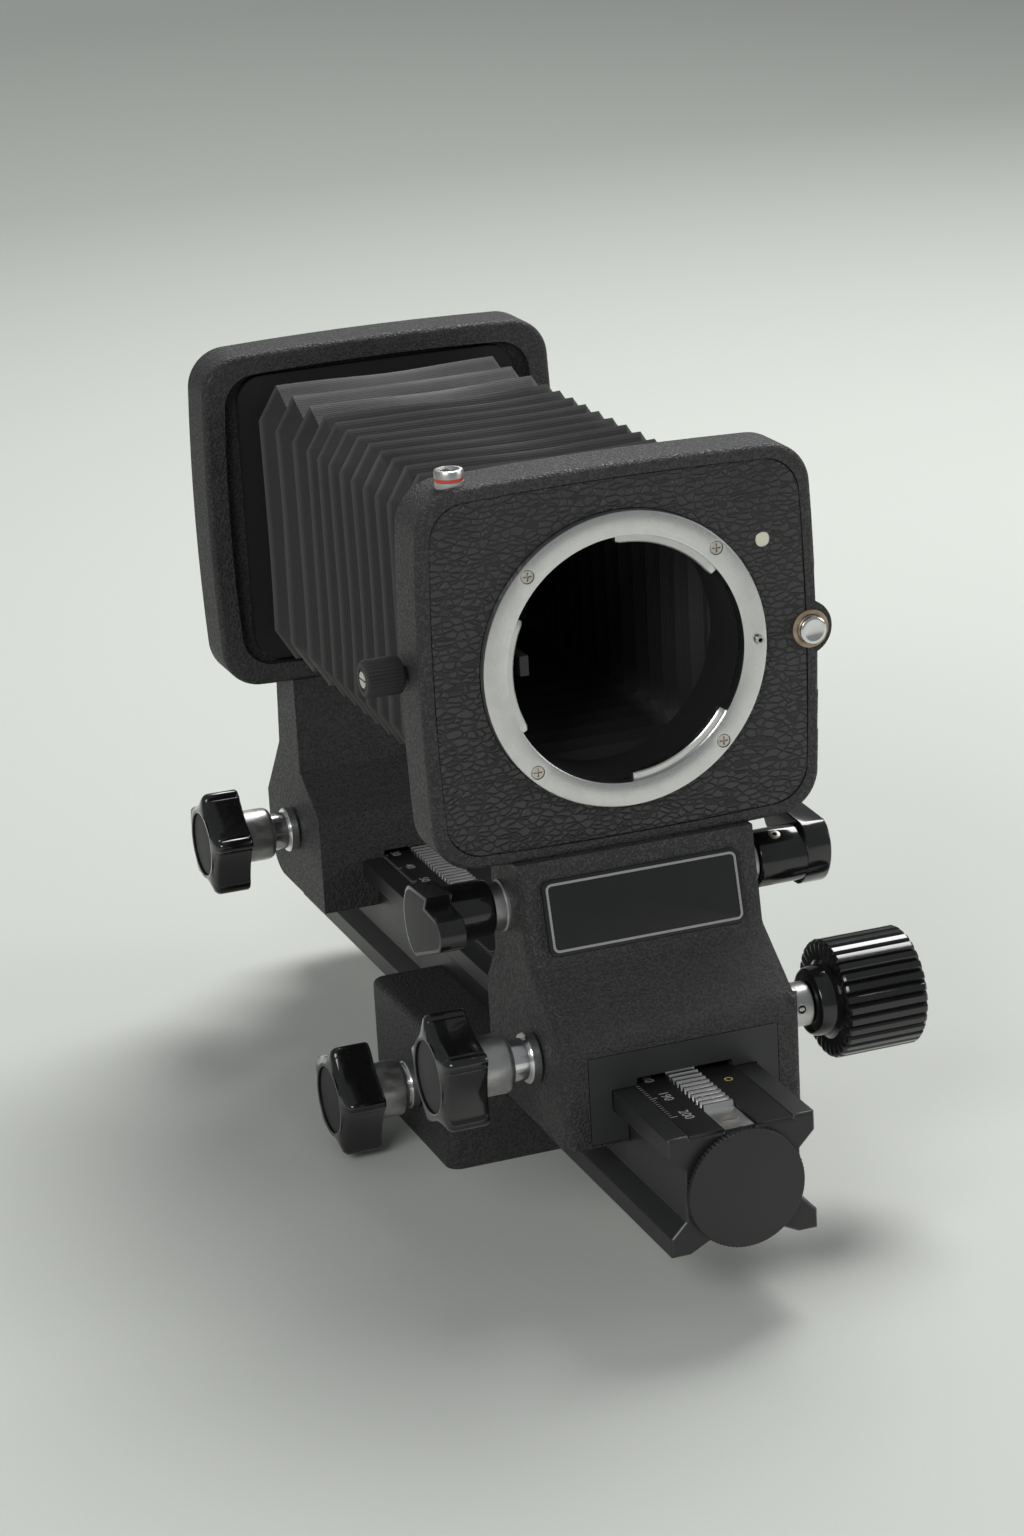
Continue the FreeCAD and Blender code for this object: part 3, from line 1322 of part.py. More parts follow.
os.makedirs("parts", exist_ok=True)
for item in nodes:
    item.Shape.exportStep(f"parts/{item.Label}.step")
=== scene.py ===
import logging
import math
from dataclasses import dataclass, field
from enum import Enum
from typing import Any, Callable, Iterable, Optional, Sequence

import bmesh
import bpy
from mathutils import Matrix, Vector


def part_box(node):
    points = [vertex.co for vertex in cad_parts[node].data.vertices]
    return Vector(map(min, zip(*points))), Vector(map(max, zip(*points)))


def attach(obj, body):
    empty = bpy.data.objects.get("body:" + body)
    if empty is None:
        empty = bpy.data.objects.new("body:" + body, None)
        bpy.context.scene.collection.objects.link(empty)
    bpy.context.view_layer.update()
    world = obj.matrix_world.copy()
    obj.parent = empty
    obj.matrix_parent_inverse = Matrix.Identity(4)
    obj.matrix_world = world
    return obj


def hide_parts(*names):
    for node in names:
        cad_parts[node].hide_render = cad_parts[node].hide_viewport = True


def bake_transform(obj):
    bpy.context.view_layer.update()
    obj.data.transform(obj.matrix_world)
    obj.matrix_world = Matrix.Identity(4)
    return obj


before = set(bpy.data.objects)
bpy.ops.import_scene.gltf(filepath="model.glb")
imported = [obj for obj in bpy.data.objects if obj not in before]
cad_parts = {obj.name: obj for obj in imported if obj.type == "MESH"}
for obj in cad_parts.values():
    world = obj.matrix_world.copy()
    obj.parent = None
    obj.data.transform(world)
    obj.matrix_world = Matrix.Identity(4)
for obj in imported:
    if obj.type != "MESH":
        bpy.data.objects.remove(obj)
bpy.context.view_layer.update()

LOG = logging.getLogger("macro_bellows")
MM = 0.001


# Shader maths
class Socket:
    """A shader value that can be used in Python expressions."""

    def __init__(self, graph: "Graph", link: Any) -> None:
        """Keep the graph and the output socket."""
        self.graph = graph
        self.link = link

    def maths(self, operation: str, *operands: Any) -> "Socket":
        """Add a Math node.

        Args:
            operation: the Math node's operation.
            operands: what it works on, in order.

        Returns:
            The node's output.
        """
        return self.graph.node("ShaderNodeMath", {"operation": operation}, dict(enumerate(operands)))

    def __add__(self, other: Any) -> "Socket":
        """Add."""
        return self.maths("ADD", self, other)

    __radd__ = __add__

    def __mul__(self, other: Any) -> "Socket":
        """Multiply."""
        return self.maths("MULTIPLY", self, other)

    __rmul__ = __mul__

    def __sub__(self, other: Any) -> "Socket":
        """Subtract."""
        return self.maths("SUBTRACT", self, other)

    def __rsub__(self, other: Any) -> "Socket":
        """Subtract from a value."""
        return self.maths("SUBTRACT", other, self)

    def __truediv__(self, other: Any) -> "Socket":
        """Divide."""
        return self.maths("DIVIDE", self, other)

    def __pow__(self, other: Any) -> "Socket":
        """Raise to a power."""
        return self.maths("POWER", self, other)

    def step(self, low: float, high: float) -> "Socket":
        """A smooth rise from 0 at low to 1 at high.

        Args:
            low: where the rise starts.
            high: where it ends.

        Returns:
            The mask.
        """
        settings = {"interpolation_type": "SMOOTHSTEP"}
        return self.graph.node("ShaderNodeMapRange", settings, {0: self, 1: low, 2: high, 3: 0.0, 4: 1.0})


class Graph:
    """A material under construction."""

    def __init__(self, name: str) -> None:
        """Start an empty node material.

        Args:
            name: the material's name.
        """
        self.material = bpy.data.materials.new(name)
        self.material.use_nodes = True
        self.tree = self.material.node_tree
        self.tree.nodes.clear()

    def node(
        self,
        kind: str,
        settings: Optional[dict[str, Any]] = None,
        values: Optional[dict[Any, Any]] = None,
        output: Any = 0,
    ) -> Socket:
        """Add any node.

        Args:
            kind: the node's type.
            settings: properties set before its sockets.
            values: numbers, colours or links for its sockets, by name or place.
            output: the output that is handed back.

        Returns:
            That output.
        """
        made = self.tree.nodes.new(kind)
        for key, value in (settings or {}).items():
            setattr(made, key, value)
        for key, value in (values or {}).items():
            target = made.inputs[key]
            if isinstance(value, Socket):
                self.tree.links.new(value.link, target)
            else:
                target.default_value = value
        return Socket(self, made.outputs[output])

    def place(self, scale: Sequence[float] = (1.0, 1.0, 1.0)) -> Socket:
        """Object coordinates, scaled by a factor for each axis."""
        where = self.node("ShaderNodeTexCoord", output="Object")
        return self.node("ShaderNodeMapping", {}, {"Vector": where, "Scale": scale})

    def noise(self, where: Socket, scale: float, detail: float = 3.0, distortion: float = 0.0) -> Socket:
        """Smooth noise between 0 and 1."""
        values = {"Vector": where, "Scale": scale, "Detail": detail, "Distortion": distortion}
        return self.node("ShaderNodeTexNoise", {}, values)

    def cells(self, where: Socket, scale: float) -> Socket:
        """Distance to the nearest edge of a cell pattern."""
        values = {"Vector": where, "Scale": scale}
        return self.node("ShaderNodeTexVoronoi", {"feature": "DISTANCE_TO_EDGE"}, values)

    def mix(self, share: Any, first: Any, second: Any) -> Socket:
        """Blend two colours, with the share of the second given."""
        return self.node("ShaderNodeMix", {"data_type": "RGBA"}, {0: share, 6: first, 7: second}, 2)

    def bump(self, height: Socket, depth: float, strength: float) -> Socket:
        """Turn a height into a normal.

        Args:
            height: the height between 0 and 1.
            depth: what 1 stands for, in metres.
            strength: how much of it is used.

        Returns:
            The normal.
        """
        values = {"Height": height, "Distance": depth, "Strength": strength}
        return self.node("ShaderNodeBump", {}, values)

    def finish(self, **values: Any) -> bpy.types.Material:
        """Close the material with a Principled shader.

        Args:
            values: its sockets, with spaces written as underscores.

        Returns:
            The material.
        """
        named = {key.replace("_", " "): value for key, value in values.items()}
        shader = self.node("ShaderNodeBsdfPrincipled", {}, named)
        out = self.tree.nodes.new("ShaderNodeOutputMaterial")
        self.tree.links.new(shader.link, out.inputs["Surface"])
        return self.material


def tone(value: float, warm: float = 0.0) -> tuple[float, float, float, float]:
    """A grey, warmer or cooler.

    Args:
        value: its level.
        warm: how far red rises over blue.

    Returns:
        The colour.
    """
    return (value * (1 + warm), value, value * (1 - warm), 1.0)


# Finishes
@dataclass(frozen=True)
class CrinklePaint:
    """Baked black paint that dries in a fine hard crinkle, with painted shade in its troughs and painted
    highlights on its ridges.
    """

    name: str = "crinkle_black"
    dark: float = 0.012
    pale: float = 0.05
    grain: float = 1900.0
    depth: float = 0.00028
    rough: float = 0.42

    def build(self) -> bpy.types.Material:
        """Make the material."""
        g = Graph(self.name)
        where = g.place()
        ridges = g.noise(where, self.grain, 2.0, 0.6)
        grit = g.noise(where, self.grain * 2.3, 2.0)
        broad = g.noise(where, 60.0, 2.0)
        height = ridges.step(0.36, 0.62) * 0.75 + grit * 0.25
        # painted shade and highlight: the crinkle's troughs are coloured darker and its ridges paler; the
        # broad noise adds random tone
        colour = g.mix(height * 0.8 + broad * 0.2, tone(self.dark), tone(self.pale, 0.01))
        rough = self.rough + (1 - height) * 0.2 + broad * 0.06
        return g.finish(Base_Color=colour, Roughness=rough, Normal=g.bump(height, self.depth, 0.9))


@dataclass(frozen=True)
class Leatherette:
    """Black embossed covering with wide, flat pebbles and painted shade in the creases between them."""

    name: str = "leatherette"
    dark: float = 0.02
    pale: float = 0.042
    wide: float = 430.0
    tall: float = 800.0
    depth: float = 0.0004

    def build(self) -> bpy.types.Material:
        """Make the material."""
        g = Graph(self.name)
        plain = g.place()
        wander = g.node("ShaderNodeTexNoise", {}, {"Vector": plain, "Scale": 420.0, "Detail": 2.0}, 1)
        shift = g.node("ShaderNodeVectorMath", {"operation": "MULTIPLY_ADD"},
                       {0: wander, 1: (0.9, 0.0, 0.7), 2: (-0.45, 0.0, -0.35)})
        where = g.place((self.wide, self.wide, self.tall))
        bent = g.node("ShaderNodeVectorMath", {"operation": "ADD"}, {0: where, 1: shift})
        creases = g.cells(bent, 1.0)
        pebble = creases.step(0.0, 0.19)
        fine = g.noise(plain, 3200.0, 2.0)
        height = pebble * 0.85 + fine * 0.15
        # painted shade: the creases between pebbles are coloured darker; the fine noise adds random grain
        colour = g.mix(height, tone(self.dark), tone(self.pale, 0.005))
        rough = 0.36 + (1 - pebble) * 0.3 + fine * 0.08
        return g.finish(Base_Color=colour, Roughness=rough, Normal=g.bump(height, self.depth, 0.85))


@dataclass(frozen=True)
class TurnedMetal:
    """Plated or polished metal, turned about a point on an axis or drawn along one."""

    name: str
    level: float
    rough: float
    warm: float = 0.0
    centre: Optional[tuple[float, float, float]] = None
    patina: float = 0.15
    lines: float = 9000.0

    def build(self) -> bpy.types.Material:
        """Make the material."""
        g = Graph(self.name)
        where = g.place()
        if self.centre is not None:
            moved = g.node("ShaderNodeVectorMath", {"operation": "SUBTRACT"}, {0: where, 1: self.centre})
            parts = g.node("ShaderNodeSeparateXYZ", {}, {0: moved})
            up = Socket(g, parts.link.node.outputs[2])
            radius = (parts * parts + up * up) ** 0.5
            line = g.node("ShaderNodeTexNoise", {"noise_dimensions": "1D"},
                          {"W": radius, "Scale": self.lines, "Detail": 2.0})
        else:
            line = g.noise(g.place((0.06, 1.0, 1.0)), self.lines, 2.0)
        stain = g.noise(where, 330.0, 5.0, 0.4)
        specks = g.noise(where, 2600.0, 2.0).step(0.62, 0.74)
        spots = stain.step(0.42, 0.68)
        colour = g.mix(spots * self.patina + specks * self.patina * 0.5, tone(self.level, self.warm),
                       tone(self.level * 0.55, self.warm + 0.03))
        rough = self.rough + line * 0.08 + spots * self.patina * 0.5 + specks * 0.06
        return g.finish(Base_Color=colour, Metallic=1.0, Roughness=rough,
                        Normal=g.bump(line, 0.000004, 0.25))


@dataclass(frozen=True)
class GlossBlack:
    """Polished black resin or lacquer with hairline wear."""

    name: str = "knob_black"
    level: float = 0.008
    rough: float = 0.1
    coat: float = 0.5

    def build(self) -> bpy.types.Material:
        """Make the material."""
        g = Graph(self.name)
        where = g.place()
        dust = g.noise(where, 2200.0, 3.0).step(0.66, 0.8)
        smear = g.noise(g.place((1.0, 0.35, 1.0)), 210.0, 4.0, 0.5)
        hair = g.noise(g.place((0.05, 1.0, 1.0)), 6000.0, 1.0).step(0.7, 0.78)
        colour = g.mix(dust * 0.5 + hair * 0.25, tone(self.level), tone(self.level * 5 + 0.02, 0.02))
        rough = self.rough + smear * 0.1 + dust * 0.25 + hair * 0.12
        return g.finish(Base_Color=colour, Roughness=rough, Coat_Weight=self.coat, Coat_Roughness=0.06,
                        Normal=g.bump(smear, 0.00001, 0.3))


@dataclass(frozen=True)
class FlatPaint:
    """Smooth paint, anodising or resin with fine grain and soft wear."""

    name: str
    colour: tuple[float, float, float, float]
    rough: float = 0.5
    metallic: float = 0.0
    grain: float = 4000.0
    depth: float = 0.00002
    mottle: float = 0.25

    def build(self) -> bpy.types.Material:
        """Make the material."""
        g = Graph(self.name)
        where = g.place()
        fine = g.noise(where, self.grain, 3.0)
        broad = g.noise(where, 110.0, 4.0, 0.3)
        dust = g.noise(where, 1700.0, 2.0).step(0.68, 0.8)
        lighter = tuple(min(1.0, channel * 1.5 + 0.004) for channel in self.colour[:3]) + (1.0,)
        colour = g.mix((fine * 0.5 + broad * 0.5) * self.mottle * 2 + dust * 0.12, self.colour, lighter)
        rough = self.rough + broad * 0.1 + fine * 0.06 - 0.08
        return g.finish(Base_Color=colour, Roughness=rough, Metallic=self.metallic,
                        Normal=g.bump(fine, self.depth, 0.6))


@dataclass(frozen=True)
class BellowsCloth:
    """Rubberised black cloth with a fine weave and scattered lint specks, with a painted highlight along the
    ridges of its folds.
    """

    name: str = "bellows_cloth"
    dark: float = 0.006
    pale: float = 0.06

    def build(self) -> bpy.types.Material:
        """Make the material."""
        g = Graph(self.name)
        where = g.place()
        across = g.node("ShaderNodeTexWave", {"bands_direction": "X"},
                        {"Vector": where, "Scale": 900.0, "Distortion": 1.2, "Detail": 1.0}, 1)
        along = g.node("ShaderNodeTexWave", {"bands_direction": "Y"},
                       {"Vector": where, "Scale": 900.0, "Distortion": 1.2, "Detail": 1.0}, 1)
        weave = (across + along) * 0.5
        rub = g.noise(where, 260.0, 4.0, 0.4)
        lint = g.noise(where, 2400.0, 2.0).step(0.66, 0.74)
        fold = g.node("ShaderNodeAttribute", {"attribute_name": "fold"}, output="Fac")
        # painted highlight: the cloth turns paler where the fold value nears 1, on the ridges of the folds
        edge = fold.step(0.78, 1.0)
        # pale share: painted ridge highlight, plus random rub tone, weave and lint specks
        share = edge * 0.75 + rub * 0.14 + weave * 0.1 + lint * 0.4
        colour = g.mix(share, tone(self.dark), tone(self.pale, 0.02))
        rough = 0.52 + rub * 0.15 - edge * 0.08
        return g.finish(Base_Color=colour, Roughness=rough, Sheen_Weight=0.15,
                        Normal=g.bump(weave, 0.00006, 0.5))


class Finish(Enum):
    """The finishes that the pieces use."""

    CRINKLE = CrinklePaint()
    LEATHER = Leatherette()
    RING = TurnedMetal("satin_silver", 0.72, 0.24, 0.01, (0.0, -0.0675, 0.1207), 0.08, 5200.0)
    PLATED = TurnedMetal("plated_steel", 0.58, 0.3, 0.015, None, 0.35, 3000.0)
    CHROME = TurnedMetal("bright_chrome", 0.8, 0.12, 0.0, None, 0.08, 3000.0)
    SCREW = TurnedMetal("screw_steel", 0.6, 0.3, 0.07, None, 0.25, 5000.0)
    WORN = TurnedMetal("worn_plate", 0.4, 0.34, 0.28, None, 0.6, 3000.0)
    RACK = TurnedMetal("rack_silver", 0.72, 0.26, 0.01, None, 0.12, 4000.0)
    GLOSS = GlossBlack()
    RAIL = FlatPaint("black_anodised", tone(0.014, -0.02), 0.42, 0.0, 2600.0, 0.00002, 0.3)
    EDGE = FlatPaint("worn_edge", tone(0.05, 0.01), 0.35, 0.6, 2600.0, 0.00002, 0.3)
    SCALE = FlatPaint("scale_black", tone(0.012), 0.3, 0.0, 5000.0, 0.00001, 0.2)
    COVER = FlatPaint("cover_grey", tone(0.024, -0.02), 0.46, 0.0, 5200.0, 0.00003, 0.3)
    CAP = FlatPaint("matte_black", tone(0.02), 0.6, 0.0, 3600.0, 0.00004, 0.3)
    DARK = FlatPaint("flock_black", tone(0.005), 0.85, 0.0, 3800.0, 0.00006, 0.3)
    IVORY = FlatPaint("ivory_enamel", (0.72, 0.7, 0.56, 1.0), 0.25, 0.0, 1800.0, 0.00001, 0.1)
    WHITE = FlatPaint("white_paint", (0.62, 0.62, 0.6, 1.0), 0.35, 0.0, 1800.0, 0.00001, 0.1)
    MARK = FlatPaint("mark_paint", (0.34, 0.34, 0.33, 1.0), 0.35, 0.0, 1800.0, 0.00001, 0.1)
    GOLD = FlatPaint("gold_paint", (0.55, 0.38, 0.12, 1.0), 0.45, 0.0, 1800.0, 0.00001, 0.1)
    RED = FlatPaint("red_paint", (0.62, 0.06, 0.03, 1.0), 0.4, 0.0, 1800.0, 0.00001, 0.1)
    BRASS = TurnedMetal("brass", 0.55, 0.35, 0.3, None, 0.3, 3000.0)
    CLOTH = BellowsCloth()

    def material(self) -> bpy.types.Material:
        """The finish's material, made once."""
        if self not in MADE:
            MADE[self] = self.value.build()
        return MADE[self]


MADE: dict[Finish, bpy.types.Material] = {}


# Mesh helpers
Point = tuple[float, float, float]
Loop = list[Point]


@dataclass(frozen=True)
class Axis:
    """A line that turned pieces stand on, with the two directions across it."""

    origin: Point
    along: Point
    first: Point
    second: Point

    def at(self, height: float, radius: float, angle: float) -> Point:
        """A point at a height, radius and angle, in millimetres."""
        spin = (math.cos(angle) * radius, math.sin(angle) * radius)
        return tuple(
            self.origin[i] + self.along[i] * height + self.first[i] * spin[0] + self.second[i] * spin[1]
            for i in range(3)
        )


def x_axis(y: float, z: float, side: int = 1) -> Axis:
    """An axis along X, to the right or the left, whose angles run from the front upwards."""
    return Axis((0.0, y, z), (float(side), 0.0, 0.0), (0.0, -1.0, 0.0), (0.0, 0.0, 1.0))


def y_axis(x: float, y: float, z: float, side: int = 1) -> Axis:
    """An axis along Y whose angles run from +X upwards."""
    return Axis((x, y, z), (0.0, float(side), 0.0), (1.0, 0.0, 0.0), (0.0, 0.0, 1.0))


def z_axis(x: float, y: float, z: float) -> Axis:
    """An upright axis."""
    return Axis((x, y, z), (0.0, 0.0, 1.0), (1.0, 0.0, 0.0), (0.0, 1.0, 0.0))


class Forge:
    """Makes mesh objects whose sizes are given in millimetres."""

    @staticmethod
    def piece(
        name: str,
        points: Iterable[Point],
        faces: Iterable[Sequence[int]],
        finish: Finish,
        sharp: float = 32.0,
        outward: bool = True,
    ) -> bpy.types.Object:
        """Make an object.

        Args:
            name: its name.
            points: its vertices in millimetres.
            faces: its faces.
            finish: its finish.
            sharp: the angle past which an edge stays sharp, in degrees.
            outward: whether to turn all faces outward.

        Returns:
            The object.
        """
        mesh = bpy.data.meshes.new(name)
        mesh.from_pydata([tuple(value * MM for value in point) for point in points], [], list(faces))
        shape = bmesh.new()
        shape.from_mesh(mesh)
        bmesh.ops.remove_doubles(shape, verts=shape.verts, dist=1e-7)
        if outward:
            bmesh.ops.recalc_face_normals(shape, faces=shape.faces)
        shape.to_mesh(mesh)
        shape.free()
        return Forge.hang(name, mesh, finish, sharp)

    @staticmethod
    def hang(name: str, mesh: bpy.types.Mesh, finish: Finish, sharp: float = 32.0) -> bpy.types.Object:
        """Make a dressed object from a mesh.

        Args:
            name: the object's name.
            mesh: its mesh.
            finish: its finish.
            sharp: the angle past which an edge stays sharp, in degrees.

        Returns:
            The object.
        """
        made = bpy.data.objects.new(name, mesh)
        bpy.context.scene.collection.objects.link(made)
        Forge.dress(made, finish, sharp)
        return made

    @staticmethod
    def closed(
        name: str, shape: bmesh.types.BMesh, finish: Finish, sharp: float = 32.0
    ) -> bpy.types.Object:
        """Turn a hand-built shape's faces outward and make it an object.

        Args:
            name: the object's name.
            shape: the shape, which is used up.
            finish: its finish.
            sharp: the angle past which an edge stays sharp, in degrees.

        Returns:
            The object.
        """
        bmesh.ops.recalc_face_normals(shape, faces=shape.faces)
        mesh = bpy.data.meshes.new(name)
        shape.to_mesh(mesh)
        shape.free()
        return Forge.hang(name, mesh, finish, sharp)

    @staticmethod
    def dress(made: bpy.types.Object, finish: Finish, sharp: float = 32.0) -> None:
        """Give an object its finish and smooth shading."""
        made.data.materials.clear()
        made.data.materials.append(finish.material())
        made.data.shade_smooth()
        made.data.set_sharp_from_angle(angle=math.radians(sharp))

    @staticmethod
    def loft(
        name: str, loops: Sequence[Loop], finish: Finish, ring: bool = False, sharp: float = 32.0
    ) -> bpy.types.Object:
        """Skin a run of closed loops.

        Args:
            name: the piece's name.
            loops: the loops, all with as many points.
            finish: the finish.
            ring: whether the last loop joins the first, with no end caps.
            sharp: the angle past which an edge stays sharp.

        Returns:
            The object.
        """
        count = len(loops[0])
        points = [point for loop in loops for point in loop]
        faces: list[Sequence[int]] = []
        rows = len(loops) if ring else len(loops) - 1
        for row in range(rows):
            here, there = row * count, ((row + 1) % len(loops)) * count
            for index in range(count):
                following = (index + 1) % count
                faces.append((here + index, here + following, there + following, there + index))
        if not ring:
            faces.append(tuple(range(count))[::-1])
            faces.append(tuple(range((len(loops) - 1) * count, len(loops) * count)))
        return Forge.piece(name, points, faces, finish, sharp)

    @staticmethod
    def turned(
        name: str,
        axis: Axis,
        profile: Sequence[tuple[float, float]],
        finish: Finish,
        steps: int = 96,
        wave: Optional[Callable[[float, int], float]] = None,
        ring: bool = False,
        sharp: float = 32.0,
    ) -> bpy.types.Object:
        """Turn a profile about an axis.

        Args:
            name: the piece's name.
            axis: the axis.
            profile: heights and radii.
            finish: the finish.
            steps: points round the axis.
            wave: what is added to the radius at an angle, for a row of the profile.
            ring: whether the profile closes on itself, as for a ring.
            sharp: the angle past which an edge stays sharp.

        Returns:
            The object.
        """
        loops = []
        for row, (height, radius) in enumerate(profile):
            loop = []
            for index in range(steps):
                angle = 2 * math.pi * index / steps
                extra = wave(angle, row) if wave else 0.0
                loop.append(axis.at(height, radius + extra, angle))
            loops.append(loop)
        return Forge.loft(name, loops, finish, ring, sharp)

    @staticmethod
    def prism(
        name: str,
        outline: Sequence[tuple[float, float]],
        lift: Callable[[float, float, float], Point],
        levels: Sequence[tuple[float, float]],
        finish: Finish,
        sharp: float = 32.0,
    ) -> bpy.types.Object:
        """Raise an outline through levels that draw in or out.

        Args:
            name: the piece's name.
            outline: its corners across.
            lift: places a point from its two coordinates and its height.
            levels: heights, each with how far the outline is drawn in there.
            finish: the finish.
            sharp: the angle past which an edge stays sharp.

        Returns:
            The object.
        """
        loops = []
        for height, inset in levels:
            loops.append([lift(a, b, height) for a, b in drawn_in(outline, inset)])
        return Forge.loft(name, loops, finish, False, sharp)

    @staticmethod
    def bevel(made: bpy.types.Object, width: float, segments: int, angle: float) -> None:
        """Round an object's edges.

        Args:
            made: the object.
            width: the width in millimetres.
            segments: how many steps.
            angle: the least angle that is rounded, in degrees.
        """
        soft = made.modifiers.new("edges", "BEVEL")
        soft.width = width * MM
        soft.segments = segments
        soft.limit_method = "ANGLE"
        soft.angle_limit = math.radians(angle)


def drawn_in(outline: Sequence[tuple[float, float]], inset: float) -> list[tuple[float, float]]:
    """An outline moved inwards along its corners' bisectors.

    Args:
        outline: its corners, in order.
        inset: how far, in millimetres.

    Returns:
        The new corners.
    """
    if abs(inset) < 1e-9:
        return list(outline)
    area = sum(a[0] * b[1] - b[0] * a[1] for a, b in zip(outline, list(outline[1:]) + [outline[0]]))
    turn = 1.0 if area > 0 else -1.0
    count = len(outline)
    moved = []
    for index, (x, y) in enumerate(outline):
        before = outline[index - 1]
        after = outline[(index + 1) % count]
        one = Vector((x - before[0], y - before[1]))
        two = Vector((after[0] - x, after[1] - y))
        if one.length < 1e-9 or two.length < 1e-9:
            moved.append((x, y))
            continue
        one.normalize()
        two.normalize()
        normal = Vector((-one.y - two.y, one.x + two.x))
        if normal.length < 1e-6:
            moved.append((x, y))
            continue
        normal.normalize()
        stretch = 1.0 / max(0.35, normal.dot(Vector((-one.y, one.x))))
        moved.append((x + turn * normal.x * inset * stretch, y + turn * normal.y * inset * stretch))
    return moved


def rounded(half_x: float, half_z: float, corner: float, bow_x: float = 0.0, bow_z: float = 0.0,
            steps: int = 10, side: int = 12) -> list[tuple[float, float]]:
    """A rectangle with round corners whose sides may bow outwards.

    Args:
        half_x: half its width at the middle.
        half_z: half its height at the middle.
        corner: the corners' radius.
        bow_x: how far the upright sides fall back at the corners.
        bow_z: how far the level sides fall back at the corners.
        steps: points in each corner.
        side: points along each side.

    Returns:
        The outline, anticlockwise.
    """
    points = []
    flat_x, flat_z = half_x - corner, half_z - corner
    signs = ((1, 1), (-1, 1), (-1, -1), (1, -1))

    def on_corner(quarter: int, angle: float) -> tuple[float, float]:
        """A point of a quarter's round corner."""
        sign_x, sign_z = signs[quarter % 4]
        return sign_x * flat_x + corner * math.cos(angle), sign_z * flat_z + corner * math.sin(angle)

    for quarter in range(4):
        for index in range(steps + 1):
            points.append(on_corner(quarter, math.pi / 2 * (quarter + index / steps)))
        start = points[-1]
        end = on_corner(quarter + 1, math.pi / 2 * (quarter + 1))
        for index in range(1, side):
            share = index / side
            points.append((start[0] + (end[0] - start[0]) * share, start[1] + (end[1] - start[1]) * share))
    bowed = []
    for x, z in points:
        bowed.append((
            x - math.copysign(bow_x * (z / half_z) ** 2, x) * min(1.0, abs(x) / flat_x if flat_x else 1.0),
            z - math.copysign(bow_z * (x / half_x) ** 2, z) * min(1.0, abs(z) / flat_z if flat_z else 1.0),
        ))
    return bowed


# Geometry node trees
class Pattern:
    """A Geometry Nodes tree that ends in realised instances with a material."""

    def __init__(self, name: str) -> None:
        """Start an empty tree.

        Args:
            name: the tree's name.
        """
        self.tree = bpy.data.node_groups.new(name, "GeometryNodeTree")
        self.tree.interface.new_socket("Geometry", in_out="OUTPUT", socket_type="NodeSocketGeometry")
        self.sizes: dict[str, tuple[Any, float]] = {}
        self.entry: Optional[bpy.types.Node] = None

    def size(self, name: str, value: float, kind: str = "NodeSocketFloat") -> None:
        """Add a named input.

        Args:
            name: its name.
            value: its value.
            kind: its socket type.
        """
        made = self.tree.interface.new_socket(name, in_out="INPUT", socket_type=kind)
        made.default_value = value
        self.sizes[name] = (made, value)

    def node(self, kind: str, settings: Optional[dict[str, Any]] = None, **values: Any) -> bpy.types.Node:
        """Add a node.

        Args:
            kind: its type.
            settings: properties set first.
            values: inputs by name, with spaces written as underscores.

        Returns:
            The node.
        """
        made = self.tree.nodes.new(kind)
        for key, value in (settings or {}).items():
            setattr(made, key, value)
        for key, value in values.items():
            target = made.inputs[key.replace("_", " ")]
            if isinstance(value, bpy.types.NodeSocket):
                self.tree.links.new(value, target)
            elif isinstance(value, str) and value in self.sizes:
                self.tree.links.new(self.given(value), target)
            else:
                target.default_value = value
        return made

    def given(self, name: str) -> bpy.types.NodeSocket:
        """The value of a named input."""
        if self.entry is None:
            self.entry = self.tree.nodes.new("NodeGroupInput")
        return self.entry.outputs[name]

    def bake(self, name: str, shape: bpy.types.NodeSocket, finish: Finish) -> bpy.types.Object:
        """Close the tree and turn its result into a plain mesh object.

        Args:
            name: the piece's name.
            shape: the geometry.
            finish: the finish.

        Returns:
            The object.
        """
        real = self.node("GeometryNodeRealizeInstances", {}, Geometry=shape)
        coat = self.node("GeometryNodeSetMaterial", {}, Geometry=real.outputs[0], Material=finish.material())
        out = self.tree.nodes.new("NodeGroupOutput")
        self.tree.links.new(coat.outputs[0], out.inputs[0])
        holder = bpy.data.objects.new(f"{name}_pattern", bpy.data.meshes.new(f"{name}_pattern"))
        bpy.context.scene.collection.objects.link(holder)
        modifier = holder.modifiers.new("pattern", "NODES")
        modifier.node_group = self.tree
        for made, value in self.sizes.values():
            modifier[made.identifier] = value
        ready = holder.evaluated_get(bpy.context.evaluated_depsgraph_get())
        mesh = bpy.data.meshes.new_from_object(ready)
        holder.modifiers.remove(modifier)
        bpy.data.objects.remove(holder)
        mesh.name = name
        return Forge.hang(name, mesh, finish)


def repeat_at(
    name: str, seed_piece: bpy.types.Object, spots: Sequence[Point], finish: Finish
) -> bpy.types.Object:
    """Set copies of one piece at several spots.

    Args:
        name: the new piece's name.
        seed_piece: the piece that is repeated, which is used up.
        spots: where the copies go, in millimetres.
        finish: the finish.

    Returns:
        The new piece.
    """
    pattern = Pattern(f"{name}_tree")
    pattern.size("Scale", 1.0)
    info = pattern.node("GeometryNodeObjectInfo", {}, Object=seed_piece)
    joined = pattern.tree.nodes.new("GeometryNodeJoinGeometry")
    for spot in spots:
        point = pattern.node("GeometryNodePoints", {}, Count=1, Position=tuple(v * MM for v in spot))
        pattern.tree.links.new(point.outputs[0], joined.inputs[0])
    placed = pattern.node("GeometryNodeInstanceOnPoints", {}, Points=joined.outputs[0],
                          Instance=info.outputs["Geometry"], Scale="Scale")
    made = pattern.bake(name, placed.outputs[0], finish)
    bpy.data.objects.remove(seed_piece)
    return made


